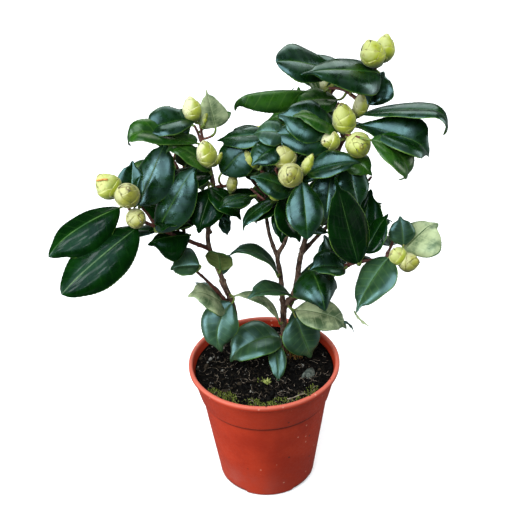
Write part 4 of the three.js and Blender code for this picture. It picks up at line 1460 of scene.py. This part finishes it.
def remember(points, hides=True):
    """Marks a leaf's points as taken, and as covered if the leaf hides what is behind it."""
    if hides:
        x, y = from_front(points).T
        for dx in (0, 1):
            for dy in (0, 1):
                covered[np.minimum(x + dx, VIEW_REACH - 1), np.minimum(y + dy, VIEW_REACH - 1)] = True
    cells = space_cells(points)
    for shift in np.vstack([np.zeros((1, 3), int), np.eye(3, dtype=int), -np.eye(3, dtype=int)]):
        taken[tuple((cells + shift).T)] = True


def hidden_share(points):
    return covered[tuple(from_front(points).T)].mean()


def clash_share(points):
    return taken[tuple(space_cells(points).T)].mean()


def leaf_spots(form):
    """A sparse set of points on a leaf, leaving out its foot, which other leaves may crowd."""
    upper, _ = leaf_grid(form, 0.0, SPARSE_STATIONS)
    return upper[4:, ::2].reshape(-1, 3)


print("cells of", VIEW_CELL, "mm seen from the front, and of", SPACE_CELL, "mm in space")

# %% [markdown]
# ## Marking what is there already
#
# Each leaf that was set is marked in both pictures. The shady places are marked as covered too:
# there the crown is so deep that a leaf behind would hardly be seen from the front.

# %% Mark the set leaves and the shady places
SHADY_PLACES = [
    # middle, radius
    ((-50, 6, 262), 16), ((-42, 8, 280), 12), ((-72, -2, 252), 8), ((30, 0, 300), 14), ((8, 6, 300), 12)]

leaf_rows = {node: list(rows) for node, rows in SET_LEAVES.items()}
for rows in SET_LEAVES.values():
    for form in rows:
        upper, _ = leaf_grid(form)
        remember(upper.reshape(-1, 3))

for place, radius in SHADY_PLACES:
    ball = np.array([direction(heading, rise) * radius * share for heading in range(0, 360, 12)
                     for rise in (-70, -45, -20, 0, 20, 45, 70) for share in (0.15, 0.35, 0.55, 0.75, 1)])
    x, y = from_front(np.array(place) + ball).T
    covered[x, y] = True
print("covered from the front:", int(covered.sum() * VIEW_CELL**2 / 100), "square centimetres")

# %% [markdown]
# ## Growing the rest of the crown
#
# Camellia leaves stand one by one round the shoot, each a good third of a turn on from the last.
# That is the whole branching rule: a shoot runs on from the limb and curves upwards, a side shoot
# leaves it every so often, and at each node a leaf sets off by the golden angle. A leaf that breaks
# one of the two rules is turned, tilted or shortened and tried again; after some tries that node
# stays bare, as many do on a real plant. The draws are seeded, so every run grows the same shrub.

# %% Helper: try a leaf
BARE_NODE_AFTER, FULL_SIZE_TRIES, SHRINK = 24, 5, 0.03
HIDDEN_ENOUGH, CLASH_LIMIT = 0.965, 0.03
OUTSIDE_FRAME, LOWEST = 5.0, 125.0
LENGTHS, WIDTH_SHARES, ROLLS, DROOPS = (50, 68), (0.48, 0.58), (-22, 22), (20, 48)
TIPS, SWAYS, FOLDS, CUPS = (8, 36), (-14, 14), (8, 18), (-24, -8)
TURN_SLACK, RISE_SLACK = (-30, 30), (-12, 12)
TOWARDS_LIGHT, STALK_ROOM = np.array([0, 0, 0.12]), 6
side_low, side_high = cad_low - OUTSIDE_FRAME, cad_high + OUTSIDE_FRAME


def try_leaf(node, place, along, turn, spread, tones):
    """Grows one leaf at a node of a shoot, or leaves the node bare."""
    along = unit(along)
    level = unit(np.cross(along, [0.2, 0.1, 1.0]))
    for attempt in range(BARE_NODE_AFTER):
        around = turn_about(level, along, turn + random.uniform(*TURN_SLACK) * (1 + attempt / 6))
        away = math.radians(spread)
        out = unit(around * math.sin(away) + along * math.cos(away) + TOWARDS_LIGHT)
        heading = math.degrees(math.atan2(out[1], out[0]))
        rise = math.degrees(math.asin(out[2])) + random.uniform(*RISE_SLACK)
        length = random.uniform(*LENGTHS) * (1 - SHRINK * max(0, attempt - FULL_SIZE_TRIES))
        width = length * random.uniform(*WIDTH_SHARES)
        roll, droop, tip = random.uniform(*ROLLS), random.uniform(*DROOPS), random.uniform(*TIPS)
        sway, fold, cup = random.uniform(*SWAYS), random.uniform(*FOLDS), random.uniform(*CUPS)
        tone = tones[int(random.integers(len(tones)))]
        foot = place + out * STALK_ROOM
        form = leaf(foot, heading, rise, length, width, roll, droop, tip, sway, fold, cup, tone)
        spots = leaf_spots(form)
        inside = (spots > side_low).all() and (spots < side_high).all() and spots[:, 2].min() > LOWEST
        if inside and hidden_share(spots) > HIDDEN_ENOUGH and clash_share(spots) < CLASH_LIMIT:
            leaf_rows.setdefault(node, []).append(form)
            remember(leaf_grid(form)[0].reshape(-1, 3), hides=False)
            return form
    return None


print("a leaf is tried", BARE_NODE_AFTER, "times before its node stays bare")

# %% [markdown]
# ## A spray
#
# A shoot lifts as it grows, with leaves at even steps that stand out less and less towards its end,
# and three more round its tip. Side shoots leave it to the right and to the left in turn. They are
# made by the same function, shorter and without side shoots of their own.

# %% Grow a spray
END_LEAVES, END_SPREAD, LIFT = 3, 38, 18
FIRST_SPREAD, SPREAD_LOST = 68, 34
SIDE_SHOOT_TURN, SIDE_SHOOT_RISE, SIDE_SHOOT_LENGTH = 70, 10, 0.62


def grow_spray(node, start, heading, rise, length, spacing=7.5, tones=("deep",), branches=1, foot=1.25):
    """A shoot with leaves round it. It lifts as it grows, and may carry side shoots."""
    points, place = [np.array(start, float)], np.array(start, float)
    for share in (0.34, 0.67, 1):
        place = place + direction(heading + random.uniform(-14, 14), rise + LIFT * share) * length / 3
        points.append(place)
    path = grow_shoot(points, foot, 0.95)
    turn = random.uniform(0, 360)
    kept = 0
    for stop in np.arange(3.0, length, spacing):
        nearest = round(stop / SHOOT_STEP)
        place = path[min(len(path) - 1, nearest)]
        along = path[min(len(path) - 1, nearest + 1)] - path[max(0, nearest - 2)]
        spread = FIRST_SPREAD - SPREAD_LOST * stop / length
        kept += try_leaf(node, place, along, turn, spread, tones) is not None
        turn += GOLDEN_ANGLE
    for _ in range(END_LEAVES):
        kept += try_leaf(node, path[-1], path[-1] - path[-3], turn, END_SPREAD, tones) is not None
        turn += GOLDEN_ANGLE
    for number in range(branches):
        place = path[round(len(path) * (0.3 + 0.3 * number))]
        aside = heading + (SIDE_SHOOT_TURN, -SIDE_SHOOT_TURN)[number % 2] + random.uniform(-20, 20)
        kept += grow_spray(node, place, aside, rise + SIDE_SHOOT_RISE, length * SIDE_SHOOT_LENGTH, spacing,
                           tones, 0, 1.05)
    return kept


print("a spray ends in up to", END_LEAVES, "leaves")

# %% [markdown]
# ## Where the sprays start
#
# Each row starts a spray on a limb and says which mass of the frame its leaves belong to. The masses
# at the back come first, because they have most room to fill. The leaves low on the plant are older
# and greyer than the rest.

# %% Grow the sprays
GROWN = [
    # mass, start, heading, rise, length, side shoots
    ("foliage_back_left", (-62, 56, 268), 125, 30, 30, 2),
    ("foliage_back_left", (-50, 30, 256), 170, 20, 26, 1),
    ("foliage_back_centre", (14, 58, 272), 85, 35, 28, 2),
    ("foliage_back_centre", (6, 34, 262), 150, 35, 26, 1),
    ("foliage_back_right", (76, 50, 240), 60, 25, 28, 2),
    ("foliage_back_right", (52, 24, 232), 120, 20, 26, 1),
    ("foliage_back_top", (52, 48, 316), 80, 35, 26, 2),
    ("foliage_back_top", (50, 24, 300), 150, 30, 24, 1),
    ("foliage_back_left", (-62, 56, 268), 165, 10, 26, 1),
    ("foliage_back_left", (-56, 44, 262), 90, 50, 26, 1),
    ("foliage_back_centre", (14, 58, 272), 40, 20, 26, 1),
    ("foliage_back_centre", (10, 46, 267), 115, 5, 26, 1),
    ("foliage_back_right", (76, 50, 240), 15, 35, 26, 1),
    ("foliage_back_right", (64, 36, 236), 95, 50, 26, 1),
    ("foliage_back_top", (52, 48, 316), 40, 20, 24, 1),
    ("foliage_back_top", (51, 36, 308), 115, 5, 24, 1),
    ("foliage_left", (-94, -23, 276), 140, 20, 16, 0),
    ("foliage_left_inner", (-76, -13, 259), 150, 30, 24, 0),
    ("foliage_low_right", (24, 18, 160), 75, 20, 18, 0),
    ("foliage_low_left", (-25, 19, 140), 115, 25, 16, 0),
    ("foliage_left_inner", (-63, -4, 246), 120, 35, 30, 1),
    ("foliage_upper_left", (-35, 8, 283), 110, 25, 26, 1),
    ("foliage_upper_left", (-41, 12, 318), 120, 20, 18, 0),
    ("foliage_centre", (25, -12, 285), 110, 35, 26, 1),
    ("foliage_centre", (14, -4, 270), 160, 20, 26, 1),
    ("foliage_right_top", (54, 3, 292), 100, 20, 22, 0),
    ("foliage_top_right", (65, 1, 324), 110, 20, 26, 1),
    ("foliage_top", (80, 17, 358), 110, 25, 20, 1),
    ("foliage_right", (70, -12, 221), 90, 30, 28, 1),
    ("foliage_far_right", (98, -24, 233), 60, 10, 20, 0),
    ("foliage_low_right", (28, 11, 183), 80, 10, 18, 0),
    ("foliage_low_left", (-27, 15, 174), 130, 20, 18, 0),
    ("foliage_low_front", (18, 22, 134), 80, 25, 12, 0),
]
for number, (node, start, heading, rise, length, branches) in enumerate(GROWN):
    low = "low" in node
    tones = ("aged", "deep", "aged") if low else ("deep", "deep", "fresh", "deep")
    grown = grow_spray(node, start, heading, rise, length, tones=tones, branches=branches)
    print(node, "grew", grown, "leaves")
print(sum(len(rows) for rows in leaf_rows.values()), "leaves in all")

# %% [markdown]
# ## Leaf stalks
#
# Every blade hangs on a short stalk, unless it is a curled one too narrow to need it, and every
# stalk must start on wood. For each leaf the nearest wood is looked up, and a curve is drawn from
# there into the foot of the blade, arriving in the direction the leaf heads. The last 8 mm are a
# green stalk; if the wood is further away than that, the rest is a woody twig, so no leaf ever
# floats.

# %% Join every leaf to the wood
STALK_LENGTH, STALK_FOOT, STALK_TIP, STALK_STEP, STALK_SIDES = 8.0, 1.15, 0.75, 1.5, 8
BARE_TWIG, CURLED_WIDTH, INTO_BLADE = 1.0, 5, 0.8
stalks = Gathering()
wood = np.vstack(wood_points)


def join_to_wood(foot, ahead, end_radius, reach=0.6):
    """A stalk, and a twig where one is needed, from the nearest wood to a leaf's or bud's foot."""
    gap = np.linalg.norm(wood - foot, axis=1) - 6 * np.clip((foot - wood) @ ahead / 10, 0, 1)
    start = wood[np.argmin(gap)]
    distance = np.linalg.norm(foot - start)
    bend = foot - ahead * distance * reach
    t = np.linspace(0, 1, max(8, int(distance / STALK_STEP)))[:, None]
    path = (1 - t) ** 2 * start + 2 * t * (1 - t) * bend + t * t * foot
    left = np.concatenate([np.cumsum(np.linalg.norm(np.diff(path, axis=0), axis=1)[::-1])[::-1], [0]])
    woody = path[left > STALK_LENGTH]
    if len(woody) > 3:
        add_tube(twigs, smooth_path(woody, STALK_STEP), BARE_TWIG, STALK_SIDES)
        path = path[len(woody) - 1:]
    add_tube(stalks, path, np.linspace(STALK_FOOT, end_radius, len(path)), STALK_SIDES)
    return distance


distances = []
for rows in leaf_rows.values():
    for form in rows:
        if form["width"] < CURLED_WIDTH:
            continue
        ahead = direction(form["heading"], form["rise"])
        distances.append(join_to_wood(form["base"] + ahead * INTO_BLADE, ahead, STALK_TIP))
print("stalks run", round(float(np.mean(distances)), 1), "mm on average")
print("and at most", round(float(max(distances)), 1), "mm")

# %% [markdown]
# ## Flower buds
#
# A camellia bud is a small egg wrapped in silky scales, like slates on a roof: the short outer ones
# overlap the feet of the longer inner ones. Each scale is a curved sheet with its own thickness,
# laid on the egg a little further out than the one before, and turned by the golden angle. Slim leaf
# buds are made the same way, only long and narrow.

# %% Where the buds sit
BUDS = {
    # centre, heading and rise of the tip, length, width, tone
    "foliage_left": [
        ((-112, -22, 303), 170, 50, 22, 20, "lime"), ((-97, -30, 299), 290, 55, 21, 19.5, "olive"),
        ((-92, -31, 279), 310, 10, 18, 15.5, "olive")],
    "foliage_upper_left": [
        ((-48, 16, 346), 120, 70, 20, 15.5, "cream"), ((-38, -6, 319), 240, 75, 25, 16, "cream"),
        ((-38, 14, 342), 60, 65, 16, 4.5, "lime"), ((-29, -7, 315), 320, 60, 15, 4.5, "lime"),
        ((-20, 2, 290), 70, 60, 16, 9, "olive")],
    "foliage_centre": [
        ((20, -18, 320), 200, 65, 20, 18, "olive"), ((24, -33, 312), 265, 30, 19, 18.5, "olive"),
        ((37, -24, 316), 30, 60, 18, 8.5, "lime"), ((-5, 2, 309), 170, 60, 17, 10, "lime"),
        ((4, -2, 317), 80, 70, 16, 10, "cream"), ((13, -12, 285), 200, 10, 12, 9, "lime")],
    "foliage_top_right": [
        ((65, -4, 343), 190, 80, 26, 18, "lime"), ((78, 6, 349), 60, 75, 18, 11, "cream"),
        ((54, -10, 328), 230, 10, 17, 15.5, "cream"), ((75, -17, 327), 280, 15, 19, 19.5, "lime"),
        ((68, -8, 331), 250, 60, 9, 5, "lime")],
    "foliage_top": [((87, 17, 385), 200, 70, 23, 19, "lime"), ((97, 24, 386), 60, 70, 22, 16, "lime")],
    "foliage_far_right": [
        ((105, -34, 241), 200, 40, 15.5, 14.5, "lime"), ((114, -36, 236), 330, 20, 18, 15.5, "olive")],
    "foliage_back_left": [((-74, 76, 298), 130, 60, 20, 16, "lime")],
    "foliage_back_centre": [
        ((18, 84, 300), 70, 60, 20, 16, "cream"), ((6, 78, 296), 150, 40, 18, 15, "lime")],
    "foliage_back_right": [((86, 74, 262), 60, 50, 20, 16, "lime")],
    "foliage_back_top": [((56, 72, 340), 80, 60, 20, 16, "cream")],
}
print(sum(len(rows) for rows in BUDS.values()), "buds")

# %% [markdown]
# ## Making one bud
#
# The core is a fat tube with the egg's outline. The scales go on from the innermost outwards, each
# lower on the egg than the last, and each a thin solid like a leaf. A slim leaf bud gets fewer and
# thinner ones.

# %% Helper: one bud
BUD_SCALES, SCALE_STEP, SCALE_THICKNESS, STANDARD_WIDTH = 7, 0.13, 0.2, 20
SLIM_WIDTH, SLIM_SCALES, SLIM_THICKNESS = 7, 4, 0.6
SCALE_ROWS, SCALE_COLUMNS, SCALE_WRAP = 11, 15, 96
CORE_SIDES, CORE_INSET = 20, 1.2


def bud_profile(share):
    """How wide the egg is along its length: fullest below the middle, bluntly pointed."""
    return np.sin(np.pi * np.clip(share, 0.0, 1) ** 0.9) ** 0.62 * (1 - 0.16 * share**3)


def add_bud(gathering, centre, heading, rise, length, width, tone):
    axis = direction(heading, rise)
    foot = np.array(centre, float) - axis * length / 2
    side = unit(np.cross(axis, [0.31, 0.22, 0.92]))
    other = np.cross(axis, side)
    spin = random.uniform(0, 2 * math.pi)

    def on_egg(share, angle, out):
        reach = bud_profile(share) * (width / 2 - BUD_SCALES * SCALE_STEP * width / 30) + out
        return foot + axis * (share * length)[..., None] \
            + (side * np.cos(angle)[..., None] + other * np.sin(angle)[..., None]) * reach[..., None]

    core = np.linspace(0.02, 0.985, 16)
    core_radius = width / 2 - CORE_INSET * width / STANDARD_WIDTH
    add_tube(gathering, foot + np.outer(core * length, axis), bud_profile(core) * core_radius, CORE_SIDES,
             BUD_TONES[tone])
    slim = width < SLIM_WIDTH
    count = SLIM_SCALES if slim else BUD_SCALES
    step, thickness = SCALE_STEP * width / STANDARD_WIDTH, SCALE_THICKNESS * (SLIM_THICKNESS if slim else 1)
    for number in range(count):
        top = 0.99 - 0.66 * (number / (count - 1)) ** 1.25
        low = max(0.015, top - 0.8)
        q = np.linspace(0, 1, SCALE_ROWS)[:, None]
        p = np.linspace(-1, 1, SCALE_COLUMNS)[None, :]
        round_off = np.sqrt(np.clip(1 - np.clip((q - 0.35) / 0.65, 0, 1) ** 2.2, 0.0, 1)) * 0.96 + 0.04
        share = low + (top - low) * (q - 0.05 * q * p**2)
        lift = 0.12 * q**6 + 0.05 * np.abs(p) ** 5 + 0.06 * np.sin(5 * q + number + 3 * p) * q
        out = (number + 0.6) * step + lift
        angle = spin + math.radians(GOLDEN_ANGLE) * number + p * round_off * math.radians(SCALE_WRAP)
        outer = on_egg(share + 0 * p, angle, out + thickness / 2)
        inner = on_egg(share + 0 * p, angle, out - thickness / 2)
        gathering.add(*closed_sheet(outer, inner, BUD_TONES[tone], BUD_TONES[tone], BUD_TONES[tone]))
    return foot, axis


print("a bud has", BUD_SCALES, "scales, and a slim one", SLIM_SCALES)

# %% [markdown]
# ## Making all the buds
#
# Each bud is made and joined to the wood by a short stalk of its own. The first one has begun to
# split, and a thin orange line is laid on its skin. With the last stalk in place, the stalks and the
# twigs are ready to be joined too.

# %% Make the buds
INTO_BUD, BUD_STALK_TIP, BUD_STALK_REACH = 1.0, 1.3, 0.45
SPLIT_LINE, SPLIT_OUT = ((-7, -4, 6.5), (-4, -5.2, 7.4), (-1, -5.8, 8), (1.5, -6, 8)), 10.1

buds = Gathering()
for node, rows in BUDS.items():
    for row in rows:
        foot, axis = add_bud(buds, *row)
        join_to_wood(foot + axis * INTO_BUD, axis, BUD_STALK_TIP, BUD_STALK_REACH)
split_bud = np.array(BUDS["foliage_left"][0][0], float)
split = [split_bud + unit(spot) * SPLIT_OUT for spot in SPLIT_LINE]
add_tube(buds, smooth_path(split, 0.8), 0.7, 8, BUD_TONES["split"])
buds.build("flower_buds", BUD_FINISHES, "foliage")
stalks.build("leaf_stalks", [green_stalk], "young_bark")
twigs.build("twigs", [red_bark], "young_bark")

# %% [markdown]
# ## Joining the leaves
#
# The leaves become six joined meshes, one for each side of the shrub and one for the low leaves, and
# each stands for the masses on its side. That keeps every mesh under the size at which the export
# would thin it.

# %% Join the leaves by side
SIDES = {
    "leaves_left": (["foliage_left", "foliage_left_inner", "foliage_upper_left"], "foliage"),
    "leaves_centre": (["foliage_centre", "foliage_right_top", "foliage_top_right", "foliage_top"], "foliage"),
    "leaves_right": (["foliage_right", "foliage_far_right"], "foliage"),
    "leaves_back_left": (["foliage_back_left", "foliage_back_centre"], "foliage"),
    "leaves_back_right": (["foliage_back_right", "foliage_back_top"], "foliage"),
    "leaves_low": (["foliage_low_right", "foliage_low_left", "foliage_low_front", "foliage_middle",
                    "foliage_left_side"], "aged_foliage"),
}
for name, (nodes, slot_name) in SIDES.items():
    side_leaves = Gathering()
    for node in nodes:
        for form in leaf_rows.get(node, []):
            add_leaf(side_leaves, form, random.uniform(0, 1))
    side_leaves.build(name, LEAF_FINISHES, slot_name, nodes)

# %% [markdown]
# ## Measure and hand over
# ## Measure the size
# The frame decides the size, so the box of everything that shows is printed next to the frame's own
# box. The two should agree to within a few millimetres on every side.

# %% Print the size beside the frame's
visual_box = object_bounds()
sizes = {"cad": [list(corner) for corner in cad_box], "visual": [list(corner) for corner in visual_box]}
for label, corners in sizes.items():
    print(label, [[round(value / MM, 1) for value in corner] for corner in corners])
